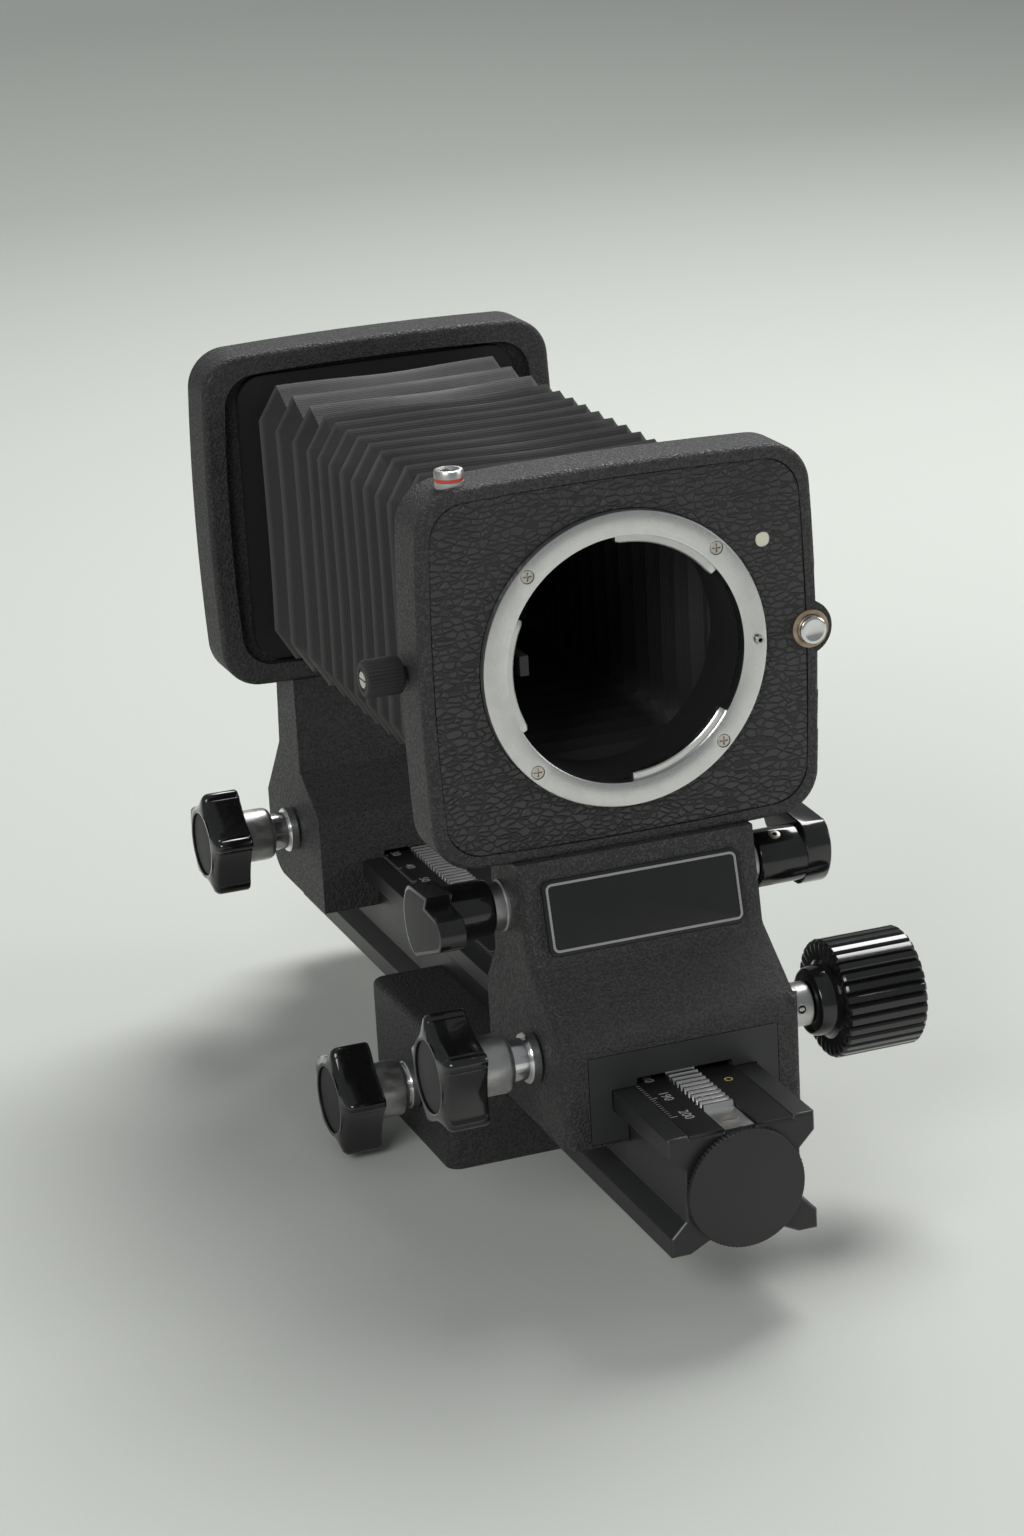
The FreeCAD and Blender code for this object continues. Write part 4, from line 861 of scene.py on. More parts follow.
def row_of_marks(
    name: str, start: Point, step: Point, count: int, mark: Point, finish: Finish
) -> bpy.types.Object:
    """A straight row of small bars, such as a scale's divisions.

    Args:
        name: the piece's name.
        start: the centre of the first bar.
        step: from one bar to the next.
        count: how many bars.
        mark: each bar's size.
        finish: the finish.

    Returns:
        The piece.
    """
    pattern = Pattern(f"{name}_tree")
    pattern.size("Count", count, "NodeSocketInt")
    for letter, value in zip("XYZ", mark):
        pattern.size(f"Mark {letter}", value * MM)
    size = pattern.node("ShaderNodeCombineXYZ", {}, X="Mark X", Y="Mark Y", Z="Mark Z")
    bar = pattern.node("GeometryNodeMeshCube", {}, Size=size.outputs[0])
    line = pattern.node("GeometryNodeMeshLine", {"mode": "OFFSET"}, Count="Count",
                        Start_Location=tuple(v * MM for v in start), Offset=tuple(v * MM for v in step))
    placed = pattern.node("GeometryNodeInstanceOnPoints", {}, Points=line.outputs[0], Instance=bar.outputs[0])
    return pattern.bake(name, placed.outputs[0], finish)


def lettering(
    name: str, text: str, size: float, frame_at: Matrix, thick: float, finish: Finish
) -> bpy.types.Object:
    """Raised plain digits.

    Args:
        name: the piece's name.
        text: the digits.
        size: their height in millimetres.
        frame_at: where they stand and which way they face, in millimetres.
        thick: their thickness in millimetres.
        finish: the finish.

    Returns:
        The piece.
    """
    curve = bpy.data.curves.new(name, "FONT")
    curve.body = text
    curve.size = size * 1.38
    curve.extrude = thick / 2
    curve.resolution_u = 3
    curve.align_x = "CENTER"
    curve.align_y = "CENTER"
    holder = bpy.data.objects.new(f"{name}_text", curve)
    bpy.context.scene.collection.objects.link(holder)
    ready = holder.evaluated_get(bpy.context.evaluated_depsgraph_get())
    mesh = bpy.data.meshes.new_from_object(ready)
    bpy.data.objects.remove(holder)
    mesh.transform(Matrix.Scale(MM, 4) @ frame_at)
    return Forge.hang(name, mesh, finish)


def clean_copy(node: str, name: str, finish: Finish, sharp: float = 28.0) -> bpy.types.Object:
    """A copy of a CAD node with merged corners and smooth shading.

    Args:
        node: the node's name.
        name: the piece's name.
        finish: the finish.
        sharp: the angle past which an edge stays sharp.

    Returns:
        The piece.
    """
    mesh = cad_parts[node].data.copy()
    mesh.name = name
    shape = bmesh.new()
    shape.from_mesh(mesh)
    bmesh.ops.remove_doubles(shape, verts=shape.verts, dist=2e-7)
    shape.to_mesh(mesh)
    shape.free()
    if "custom_normal" in mesh.attributes:
        mesh.attributes.remove(mesh.attributes["custom_normal"])
    return Forge.hang(name, mesh, finish, sharp)


def soften(made: bpy.types.Object, width: float, picks: Callable[[Vector, Vector], bool]) -> None:
    """Round the edges that a test picks.

    Args:
        made: the object.
        width: the width in millimetres.
        picks: tells from an edge's two ends, in millimetres, whether it is rounded.
    """
    mesh = made.data
    shape = bmesh.new()
    shape.from_mesh(mesh)
    bmesh.ops.dissolve_limit(shape, angle_limit=math.radians(0.5), verts=shape.verts, edges=shape.edges)
    layer = shape.edges.layers.float.new("bevel_weight_edge")
    for edge in shape.edges:
        if len(edge.link_faces) == 2 and edge.calc_face_angle(0.0) > math.radians(12):
            if picks(edge.verts[0].co / MM, edge.verts[1].co / MM):
                edge[layer] = 1.0
    shape.to_mesh(mesh)
    shape.free()
    mesh.shade_smooth()
    mesh.set_sharp_from_angle(angle=math.radians(30))
    soft = made.modifiers.new("edges", "BEVEL")
    soft.width = width * MM
    soft.segments = 4
    soft.limit_method = "WEIGHT"
    soft.use_clamp_overlap = False


def place_piece(made: bpy.types.Object, body: str, slot: str, *nodes: str) -> bpy.types.Object:
    """Hang a piece on its body and let it stand for CAD nodes.

    Args:
        made: the piece.
        body: the body that it rides on.
        slot: the record's material slot; not used.
        nodes: the nodes that it replaces.

    Returns:
        The piece.
    """
    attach(made, body)
    if nodes:
        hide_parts(*nodes)
    LOG.info("%s rides on %s", made.name, body)
    return made


def knurl(teeth: int, deep: float, amount: Sequence[float]) -> Callable[[float, int], float]:
    """A knurled rim, as what is added to the radius at an angle.

    Args:
        teeth: how many teeth the rim has.
        deep: the grooves' depth in millimetres.
        amount: the share of that depth at each row of the profile.

    Returns:
        The change of radius for an angle and a row.
    """
    def wave(angle: float, row: int) -> float:
        """The change of radius."""
        return -deep * amount[row] * abs(math.sin(angle * teeth / 2))

    return wave


# Sub-assemblies
@dataclass
class LensMount:
    """The bright bayonet ring with its lugs, screws and locating pin."""

    face_y: float = -67.5
    height: float = 120.7
    outer: float = 30.0
    bore: float = 25.0
    lug_bore: float = 23.5
    thick: float = 3.0
    lug_starts: tuple[float, ...] = (37.3, 152.6, 271.4)
    lug_angle: float = 55.0
    screw_at: float = 19.83
    screw_sink_r: float = 1.44
    pin_at: float = 28.04
    pin_sink_r: float = 0.98
    sink_deep: float = 0.7
    screw_below: float = 0.04

    def ring(self) -> None:
        """Turn the ring with its fine chamfers and the step behind its face."""
        axis = y_axis(0.0, self.face_y, self.height)
        profile = [
            (0.0, 29.72), (0.08, 29.9), (0.28, self.outer), (self.thick, self.outer), (self.thick, self.bore),
            (0.34, self.bore), (0.12, self.bore + 0.1), (0.0, self.bore + 0.3),
        ]
        steps = 240
        shape = bmesh.new()

        def row(middle: Axis, height: float, radius: float, count: int) -> list[bmesh.types.BMVert]:
            """A circle of corners about an axis."""
            return [shape.verts.new(Vector(middle.at(height, radius, 2 * math.pi * i / count)) * MM)
                    for i in range(count)]

        def wall(here: list[bmesh.types.BMVert], there: list[bmesh.types.BMVert]) -> None:
            """Join two circles of corners."""
            for i in range(len(here)):
                after = (i + 1) % len(here)
                shape.faces.new((here[i], here[after], there[after], there[i]))

        def rim(corners: list[bmesh.types.BMVert]) -> list[bmesh.types.BMEdge]:
            """The edges between a circle's corners."""
            return [shape.edges.get((a, b)) for a, b in zip(corners, corners[1:] + corners[:1])]

        rows = [row(axis, height, radius, steps) for height, radius in profile]
        for here, there in zip(rows, rows[1:]):
            wall(here, there)
        edges = rim(rows[0]) + rim(rows[-1])
        holes = [(x * self.screw_at, z * self.screw_at, self.screw_sink_r) for x in (-1, 1) for z in (-1, 1)]
        for x, z, radius in holes + [(self.pin_at, 0.0, self.pin_sink_r)]:
            middle = y_axis(x, self.face_y, self.height + z)
            mouth, sink = row(middle, 0.0, radius, 40), row(middle, self.sink_deep, radius, 40)
            wall(mouth, sink)
            shape.faces.new(sink)
            edges += rim(mouth)
        bmesh.ops.triangle_fill(shape, edges=edges, use_beauty=True)
        made = Forge.closed("mount_ring", shape, Finish.RING)
        place_piece(made, "front_standard", "satin_silver", "lens_mount_ring")
        for index, start in enumerate(self.lug_starts):
            loops = []
            steps = 26
            for step in range(steps + 1):
                angle = -math.radians(start + self.lug_angle * step / steps)
                ends = 0.22 if step in (0, steps) else 0.0
                section = [(0.8 + ends, self.lug_bore + 0.25 + ends), (1.0 + ends, self.lug_bore + ends),
                           (2.5 - ends, self.lug_bore + ends), (2.6 - ends, self.lug_bore + 0.15 + ends),
                           (2.6 - ends, self.bore + 0.2), (0.8 + ends, self.bore + 0.2)]
                loops.append([axis.at(h, r, -angle) for h, r in section])
            lug = Forge.loft(f"mount_lug_{index + 1}", loops, Finish.RING)
            place_piece(lug, "front_standard", "satin_silver")

    def screws(self) -> None:
        """Set four small crosshead screws round the ring."""
        seed = crosshead("ring_screw_seed", 1.32, 0.32, 0.9, 0.45, Finish.SCREW)
        spots = [(x * self.screw_at, self.face_y + self.screw_below, self.height + z * self.screw_at)
                 for x in (-1, 1) for z in (-1, 1)]
        made = repeat_at("mount_screws", seed, spots, Finish.SCREW)
        place_piece(made, "front_standard", "screw_steel", "mount_ring_screws")

    def build(self) -> None:
        """Build the mount."""
        self.ring()
        self.screws()


def crosshead(
    name: str, radius: float, width: float, reach: float, deep: float, finish: Finish
) -> bpy.types.Object:
    """A screw head that faces -Y, with a cross recess.

    Args:
        name: the piece's name.
        radius: the head's radius.
        width: the recess's arm width.
        reach: the recess's arm length from the middle.
        deep: how deep the recess is.
        finish: the finish.

    Returns:
        The head, with its middle at the origin.
    """
    half = width / 2
    cross = [(reach, -half), (reach, half), (half, half), (half, reach), (-half, reach), (-half, half),
             (-reach, half), (-reach, -half), (-half, -half), (-half, -reach), (half, -reach), (half, -half)]
    steps = 36
    circle = [(radius * math.cos(2 * math.pi * i / steps), radius * math.sin(2 * math.pi * i / steps))
              for i in range(steps)]
    shape = bmesh.new()
    top = [shape.verts.new((x * 0.93 * MM, 0.0, z * 0.93 * MM)) for x, z in circle]
    rim = [shape.verts.new((x * MM, 0.12 * MM, z * MM)) for x, z in circle]
    low = [shape.verts.new((x * MM, 1.2 * MM, z * MM)) for x, z in circle]
    mouth = [shape.verts.new((x * MM, 0.0, z * MM)) for x, z in cross]
    floor = [shape.verts.new((x * 0.8 * MM, deep * MM, z * 0.8 * MM)) for x, z in cross]
    edges = [shape.edges.new((top[i], top[(i + 1) % steps])) for i in range(steps)]
    edges += [shape.edges.new((mouth[i], mouth[(i + 1) % 12])) for i in range(12)]
    bmesh.ops.triangle_fill(shape, edges=edges, use_beauty=True)
    for ring_a, ring_b in ((top, rim), (rim, low), (mouth, floor)):
        count = len(ring_a)
        for i in range(count):
            shape.faces.new((ring_a[i], ring_a[(i + 1) % count], ring_b[(i + 1) % count], ring_b[i]))
    shape.faces.new(floor)
    shape.faces.new(low)
    return Forge.closed(name, shape, finish, 25.0)


@dataclass
class LensPanel:
    """What the lens panel carries: covering, dot, release button, stop-down knob, cable socket."""

    face_y: float = -65.6
    height: float = 120.7
    flange_y: float = -67.5
    ring_hole_r: float = 30.15
    dot_x: float = 30.5
    dot_up: float = 19.6
    dot_hole_r: float = 1.55
    release_x: float = 40.2
    release_down: float = 0.16
    pin_x: float = 28.04

    def covering(self) -> None:
        """Lay the embossed covering with its rolled edges, round the ring and the collar."""
        outline = rounded(39.45, 36.3, 7.5, 1.0, 0.8, 12, 16)
        shape = bmesh.new()
        levels = ((0.9, 0.0), (0.35, 0.0), (0.1, 0.12), (0.0, 0.4))
        loops = [
            [shape.verts.new((x * MM, (self.face_y + deep) * MM, (self.height + z) * MM))
             for x, z in drawn_in(outline, inset)]
            for deep, inset in levels
        ]
        count = len(outline)
        for here, there in zip(loops, loops[1:]):
            for i in range(count):
                shape.faces.new((here[i], here[(i + 1) % count], there[(i + 1) % count], there[i]))
        edges = [shape.edges.get((loops[-1][i], loops[-1][(i + 1) % count])) for i in range(count)]
        holes = [(0.0, 0.0, self.ring_hole_r, 160), (self.dot_x, self.dot_up, self.dot_hole_r, 32)]
        for x, z, radius, steps in holes:
            ring = []
            for i in range(steps):
                angle = 2 * math.pi * i / steps
                px, pz = x + radius * math.cos(angle), z + radius * math.sin(angle)
                ring.append(shape.verts.new((px * MM, self.face_y * MM, (self.height + pz) * MM)))
            edges += [shape.edges.new((ring[i], ring[(i + 1) % steps])) for i in range(steps)]
        bmesh.ops.triangle_fill(shape, edges=edges, use_beauty=True)
        made = Forge.closed("panel_covering", shape, Finish.LEATHER, 50.0)
        place_piece(made, "front_standard", "leatherette", "front_leather")

    def dot(self) -> None:
        """Raise the white index dot in its fine metal rim."""
        axis = y_axis(self.dot_x, self.face_y, self.height + self.dot_up)
        dome = [(0.9, 1.4), (-0.02, 1.4), (-0.09, 1.2), (-0.13, 0.8), (-0.15, 0.0)]
        made = Forge.turned("index_dot_dome", axis, dome, Finish.IVORY, 40)
        place_piece(made, "front_standard", "white_paint", "index_dot")
        rim = [(0.4, 1.4), (-0.06, 1.4), (-0.1, 1.46), (-0.06, 1.52), (0.4, 1.52)]
        made = Forge.turned("index_dot_rim", axis, rim, Finish.PLATED, 40, None, True)
        place_piece(made, "front_standard", "plated_steel")

    def release(self) -> None:
        """Turn the release button, its collar and the locating pin."""
        axis = y_axis(self.release_x, self.flange_y, self.height - self.release_down)
        collar = [(1.45, 2.98), (1.4, 3.1), (1.4, 3.7), (1.5, 3.88), (1.7, 3.92), (6.8, 3.92), (6.8, 2.98)]
        made = Forge.turned("release_sleeve", axis, collar, Finish.WORN, 64, None, True)
        place_piece(made, "front_standard", "plated_steel", "release_collar")
        button = [(7.0, 2.88), (0.35, 2.88), (0.12, 2.8), (-0.02, 2.62), (-0.1, 2.3), (-0.1, 2.1),
                  (-0.04, 2.0), (-0.04, 0.0)]
        made = Forge.turned("release_button_cap", axis, button, Finish.CHROME, 64)
        place_piece(made, "lens_release", "satin_silver", "release_button")
        pin_axis = y_axis(self.pin_x, self.flange_y, self.height)
        pin = [(7.0, 0.8), (-0.85, 0.8), (-1.02, 0.7), (-1.1, 0.45), (-1.1, 0.0)]
        made = Forge.turned("lock_pin_tip", pin_axis, pin, Finish.RING, 32)
        place_piece(made, "lens_release", "satin_silver")
        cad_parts["lock_pin"].data.materials.clear()
        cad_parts["lock_pin"].data.materials.append(Finish.PLATED.material())

    def stop_down(self) -> None:
        """Knurl the small stop-down knob and screw it to its shaft."""
        axis = x_axis(self.flange_y + 11.0, self.height + 1.2, -1)
        teeth = 36
        wave = knurl(teeth, 0.28, (0.0, 0.0, 0.6, 1.0, 1.0, 0.6, 0.0, 0.0, 0.0, 0.0))
        profile = [(43.2, 1.5), (43.2, 3.3), (43.45, 3.65), (43.7, 3.8), (50.4, 3.8), (50.7, 3.65),
                   (50.95, 3.3), (50.95, 2.4), (50.75, 2.3), (50.75, 0.0)]
        made = Forge.turned("stop_knob_grip", axis, profile, Finish.CAP, teeth * 6, wave)
        place_piece(made, "stop_down", "knob_black", "stop_down_knob")
        screw = slotted("stop_knob_screw", 1.7, 0.35, 0.35, Finish.SCREW)
        screw.data.transform(Matrix.Translation(Vector((-50.98, axis.origin[1], axis.origin[2])) * MM)
                             @ Matrix.Rotation(math.pi / 2, 4, "Z") @ Matrix.Rotation(math.pi, 4, "Z"))
        place_piece(screw, "stop_down", "screw_steel")

    def cable_socket(self) -> None:
        """Turn the threaded cable socket with its red line."""
        axis = z_axis(-32.3, self.flange_y + 6.5, self.height)
        threads: list[tuple[float, float]] = []
        for step in range(12):
            level = 41.2 - step * 0.42
            threads += [(level, 1.72), (level - 0.21, 1.95)]
        outer = [(36.05, 1.72), (36.05, 2.9), (39.35, 2.9), (39.4, 2.78), (40.0, 2.78), (40.05, 2.9),
                 (41.2, 2.9), (41.5, 2.75), (41.6, 2.5), (41.6, 2.1), (41.4, 1.9)]
        made = Forge.turned("cable_socket_sleeve", axis, outer + threads, Finish.PLATED, 64, None, True)
        place_piece(made, "front_standard", "satin_silver", "cable_socket")
        line = [(39.42, 2.7), (39.42, 2.87), (39.98, 2.87), (39.98, 2.7)]
        made = Forge.turned("cable_socket_line", axis, line, Finish.RED, 64, None, True)
        place_piece(made, "front_standard", "plated_steel")

    def build(self) -> None:
        """Build all that the panel carries."""
        self.covering()
        self.dot()
        self.release()
        self.stop_down()
        self.cable_socket()


def slotted(name: str, radius: float, width: float, deep: float, finish: Finish) -> bpy.types.Object:
    """A slotted screw head that faces -Y at the origin.

    Args:
        name: the piece's name.
        radius: the head's radius.
        width: the slot's width.
        deep: the slot's depth.
        finish: the finish.

    Returns:
        The head.
    """
    half = width / 2
    steps = 20
    cut = math.asin(half / radius)
    points: list[Point] = []
    faces: list[Sequence[int]] = []
    for side in (0, 1):
        start = len(points)
        arc = [side * math.pi + cut + (math.pi - 2 * cut) * i / steps for i in range(steps + 1)]
        for depth, shrink in ((0.0, 0.94), (0.1, 1.0), (0.9, 1.0)):
            for angle in arc:
                points.append((radius * shrink * math.cos(angle), depth, radius * shrink * math.sin(angle)))
        count = steps + 1
        faces.append([start + i for i in range(count)])
        for row in (0, 1):
            for i in range(steps):
                a = start + row * count + i
                faces.append((a, a + 1, a + 1 + count, a + count))
        faces.append([start, start + count, start + 2 * count, start + 3 * count - 1, start + 2 * count - 1,
                      start + count - 1])
    base = len(points)
    for depth in (deep, 0.9):
        for i in range(2 * steps):
            angle = math.pi * i / steps
            points.append((radius * 0.985 * math.cos(angle), depth, radius * 0.985 * math.sin(angle)))
    count = 2 * steps
    faces.append([base + i for i in range(count)])
    faces.append([base + count + i for i in range(count)][::-1])
    for i in range(count):
        faces.append((base + i, base + (i + 1) % count, base + count + (i + 1) % count, base + count + i))
    return Forge.piece(name, points, faces, finish, 25.0)


@dataclass
class KnobAxis:
    """One axis of the unit: the ribbed drive knob on the right, the lobed lock knob on the left."""

    prefix: str
    along: float
    up: float
    wall: float
    turn: float
    ribs: int = 32
    lobes: int = 5
    lobe_reach: float = 12.4
    lobe_r: float = 1.5
    lobe_waist: float = 9.5
    rib_deep: float = 0.9
    rib_flat: float = 0.52
    rib_slope: float = 1.15

    @property
    def carrier(self) -> str:
        """The body that carries the axis."""
        return "stage" if self.prefix == "stage" else f"{self.prefix}_standard"

    def drive_knob(self) -> None:
        """Turn the drive knob with its rounded ribs."""
        axis = x_axis(self.along, self.up)
        amount = (0, 0, 0, 0, 0, 0, 0.25, 0.8, 1, 1, 0.8, 0.25, 0, 0, 0)

        def wave(angle: float, row: int) -> float:
            """How far a rib's flank falls back."""
            share = (angle * self.ribs / (2 * math.pi)) % 1.0
            crest = abs(2 * share - 1)
            fallen = max(0.0, (crest - self.rib_flat) / (1.0 - self.rib_flat))
            return -self.rib_deep * amount[row] * fallen ** self.rib_slope

        profile = [(33.75, 2.45), (33.75, 6.3), (34.0, 6.8), (34.3, 7.0), (37.1, 7.4), (37.6, 8.2),
                   (37.6, 11.4), (37.75, 12.0), (38.2, 12.3), (54.7, 12.3), (55.15, 12.0), (55.3, 11.5),
                   (55.3, 10.2), (54.9, 9.9), (54.9, 0.0)]
        made = Forge.turned(f"{self.prefix}_ribbed_knob", axis, profile, Finish.GLOSS, self.ribs * 12, wave,
                            False, 30.0)
        place_piece(made, f"{self.prefix}_drive", "knob_black", f"{self.prefix}_drive_knob")

    def bush(self) -> None:
        """Turn the plated bush with the small hole for its set screw."""
        axis = x_axis(self.along, self.up)
        outer = 4.6
        profile = [(16.0, 2.45), (16.0, 4.3), (self.wall + 0.02, 4.3), (self.wall + 0.02, outer),
                   (33.2, outer), (33.45, outer - 0.25), (33.5, 3.6), (33.5, 2.45)]
        made = Forge.turned(f"{self.prefix}_bush_sleeve", axis, profile, Finish.PLATED, 72, None, True)
        place_piece(made, self.carrier, "plated_steel", f"{self.prefix}_drive_bush")
        self.set_screw(f"{self.prefix}_bush_screw", 30.6, outer, 8.0, 0.95)

    def set_screw(self, name: str, at: float, radius: float, angle: float, size: float) -> None:
        """Mark the small set-screw hole in the bush with a plated rim round a flat dark disc, which is
        painted shade for the hole.

        Args:
            name: the piece's name.
            at: its distance from the middle.
            radius: the bush's radius.
            angle: its angle above the front, in degrees.
            size: the radius of its hole.
        """
        lean = math.radians(angle)
        out = Vector((0.0, -math.cos(lean), math.sin(lean)))
        middle = Vector((at, self.along, self.up)) + out * radius
        across = Vector((1.0, 0.0, 0.0))
        third = out.cross(across)
        spot = Axis(tuple(middle), tuple(out), tuple(across), tuple(third))
        rim = [(-0.06, size * 0.86), (0.04, size * 0.95), (0.04, size * 1.08), (-0.08, size * 1.2)]
        made = Forge.turned(name + "_rim", spot, [(-0.4, size * 0.86)] + rim + [(-0.4, size * 1.2)],
                            Finish.PLATED, 32, None, True)
        place_piece(made, self.carrier, "plated_steel")
        # painted shade: a flat dark disc inside the rim stands for the shade in the set-screw hole
        hole_shade = [(0.02, size * 0.9), (-0.02, size * 0.45), (-0.02, 0.0)]
        made = Forge.turned(name + "_well", spot, [(-0.3, 0.0), (-0.3, size * 0.9)] + hole_shade, Finish.DARK, 24)
        place_piece(made, self.carrier, "matte_black")

    def lobe_radius(self, angle: float) -> float:
        """The lock knob's outline at an angle, from the tangent arcs of its lobes and hollows."""
        out = self.lobe_reach - self.lobe_r
        half = math.pi / self.lobes
        cosine = math.cos(half)
        hollow = (self.lobe_r ** 2 - out ** 2 - self.lobe_waist ** 2 + 2 * out * self.lobe_waist * cosine) / (
            2 * (self.lobe_waist - out * cosine - self.lobe_r))
        far = self.lobe_waist + hollow
        phi = abs((angle - math.radians(self.turn) + half) % (2 * half) - half)
        found = []
        inside = self.lobe_r ** 2 - (out * math.sin(phi)) ** 2
        if inside >= 0:
            found.append(out * math.cos(phi) + math.sqrt(inside))
        psi = half - phi
        inside = hollow ** 2 - (far * math.sin(psi)) ** 2
        if inside >= 0:
            found.append(far * math.cos(psi) - math.sqrt(inside))
        return min(found)

    def lock_knob(self) -> None:
        """Build the lobed lock knob with its recessed cap."""
        axis = x_axis(self.along, self.up, -1)
        body = f"{self.prefix}_lock"
        rows = [(38.9, 0.7, 0.0, 0.0), (38.9, 0.9, 0.0, 0.0), (39.2, 0.975, 0.0, 0.0),
                (39.7, 1.0, 0.0, 0.0), (46.3, 1.0, 0.0, 0.0), (46.9, 0.985, 0.0, 0.0),
                (47.5, 0.94, 0.0, 0.0), (48.0, 0.84, 0.25, 8.1), (48.3, 0.0, 1.0, 8.1),
                (48.3, 0.0, 1.0, 7.55), (48.2, 0.0, 1.0, 7.4), (47.6, 0.0, 1.0, 7.4), (47.6, 0.0, 1.0, 7.0)]
        steps = 240
        loops = []
        for height, share, round_share, round_r in rows:
            loop = []
            for index in range(steps):
                angle = 2 * math.pi * index / steps
                lobed = self.lobe_radius(angle) * share
                radius = lobed * (1.0 - round_share) + round_r * round_share
                loop.append(axis.at(height, radius, angle))
            loops.append(loop)
        start = [[axis.at(38.9, 2.45, 2 * math.pi * i / steps) for i in range(steps)]]
        made = Forge.loft(f"{self.prefix}_lobed_knob", start + loops, Finish.GLOSS, False, 40.0)
        place_piece(made, body, "knob_black", f"{self.prefix}_lock_knob")
        cap = [(46.8, 7.3), (47.6, 7.3), (47.75, 7.2), (47.8, 7.0), (47.84, 0.0)]
        made = Forge.turned(f"{self.prefix}_lock_disc", axis, [(46.8, 0.0)] + cap, Finish.CAP, 72)
        place_piece(made, body, "matte_black", f"{self.prefix}_lock_cap")

    def lock_stem(self) -> None:
        """Turn the stem, its neck and its plated collar."""
        axis = x_axis(self.along, self.up, -1)
        body = f"{self.prefix}_lock"
        wall = self.wall
        stem = [(14.5, 0.0), (14.5, 2.4), (wall - 0.5, 2.4), (wall + 0.3, 3.0), (wall + 0.3, 5.0),
                (wall + 0.6, 5.2), (wall + 2.2, 5.2), (wall + 2.5, 5.0), (wall + 2.5, 4.3),
                (33.0, 4.3), (33.0, 2.4), (46.6, 2.4), (46.6, 0.0)]
        made = Forge.turned(f"{self.prefix}_stem_turned", axis, stem, Finish.CHROME, 64)
        place_piece(made, body, "plated_steel", f"{self.prefix}_lock_stem")
        collar = [(31.6, 4.4), (31.6, 5.0), (31.9, 5.6), (32.4, 5.95), (33.0, 6.1), (38.9, 6.1), (38.9, 2.45),
                  (31.9, 2.45)]
        made = Forge.turned(f"{self.prefix}_collar_turned", axis, collar, Finish.PLATED, 72, None, True)
        place_piece(made, body, "plated_steel", f"{self.prefix}_lock_collar")

    def build(self) -> None:
        """Build both knobs."""
        self.drive_knob()
        self.bush()
        self.lock_knob()
        self.lock_stem()


@dataclass
class ClampLever:
    """A clamp lever on the neck: a black barrel with a short flat lever at its outer end."""

    name: str
    side: int
    point: float
    along: float = -58.0
    up: float = 71.2
    barrel_r: float = 5.9
    lever_r: float = 7.4
    reach: float = 16.4
    tip_r: float = 3.6

    def outline(self) -> list[tuple[float, float]]:
        """The lever's outline about its axis, with its stepped upper edge."""
        lean = math.radians(self.point)
        flat = []
        for step in range(25):
            angle = math.pi / 2 + math.pi * step / 24
            flat.append((self.lever_r * math.cos(angle) * 0.78, self.lever_r * math.sin(angle)))
        end = self.reach - self.tip_r
        for step in range(13):
            angle = -math.pi / 2 + 0.2 + (math.pi - 0.45) * step / 12
            flat.append((end + self.tip_r * math.cos(angle), self.tip_r * math.sin(angle) + 0.4))
        flat.append((8.0, 4.7))
        flat.append((9.6, 7.2))
        cosine, sine = math.cos(lean), math.sin(lean)
        return [(ahead * cosine - up * sine, ahead * sine + up * cosine) for ahead, up in flat]

    def build(self) -> None:
        """Build the barrel, the lever and their fastenings."""
        axis = x_axis(self.along, self.up, self.side)
        barrel = [(28.75, 2.6), (28.75, 5.2), (29.0, 5.7), (29.4, self.barrel_r), (38.9, self.barrel_r),
                  (38.9, 0.0)]
        made = Forge.turned(f"{self.name}_barrel", axis, [(16.0, 0.0), (16.0, 2.5), (28.75, 2.5)] + barrel,
                            Finish.GLOSS, 96)
        place_piece(made, self.name, "knob_black", f"{self.name}_lever")

        def lift(ahead: float, up: float, height: float) -> Point:
            """Place a point of the lever."""
            return (self.side * height, self.along - ahead, self.up + up)

        levels = [(38.8, 0.25), (39.05, 0.0), (43.9, 0.0), (44.25, 0.12), (44.4, 0.4)]
        made = Forge.prism(f"{self.name}_lever_plate", self.outline(), lift, levels, Finish.GLOSS, 40.0)
        place_piece(made, self.name, "knob_black")
        made = Forge.prism(f"{self.name}_lever_face", drawn_in(self.outline(), 0.8), lift,
                           [(44.3, 0.0), (44.44, 0.0), (44.47, 0.15)], Finish.CAP)
        place_piece(made, self.name, "matte_black")
        collar = [(25.5, 2.55), (25.5, 5.3), (26.0, 5.3), (26.3, 5.0), (28.2, 5.0), (28.5, 4.8), (28.5, 2.55)]
        made = Forge.turned(f"{self.name}_collar", axis, collar, Finish.PLATED, 64, None, True)
        place_piece(made, "front_standard", "plated_steel")
        if self.side > 0:
            spot = Axis((33.2, self.along - 5.9 * math.cos(1.15), self.up + 5.9 * math.sin(1.15)),
                        (0.0, -math.cos(1.15), math.sin(1.15)), (1.0, 0.0, 0.0),
                        (0.0, math.sin(1.15), math.cos(1.15)))
            head = [(-0.3, 1.25), (0.08, 1.25), (0.16, 1.1), (0.16, 0.6), (-0.1, 0.5), (-0.1, 0.0)]
            made = Forge.turned(f"{self.name}_pin", spot, [(-0.3, 0.0)] + head, Finish.SCREW, 32)
            place_piece(made, self.name, "screw_steel")


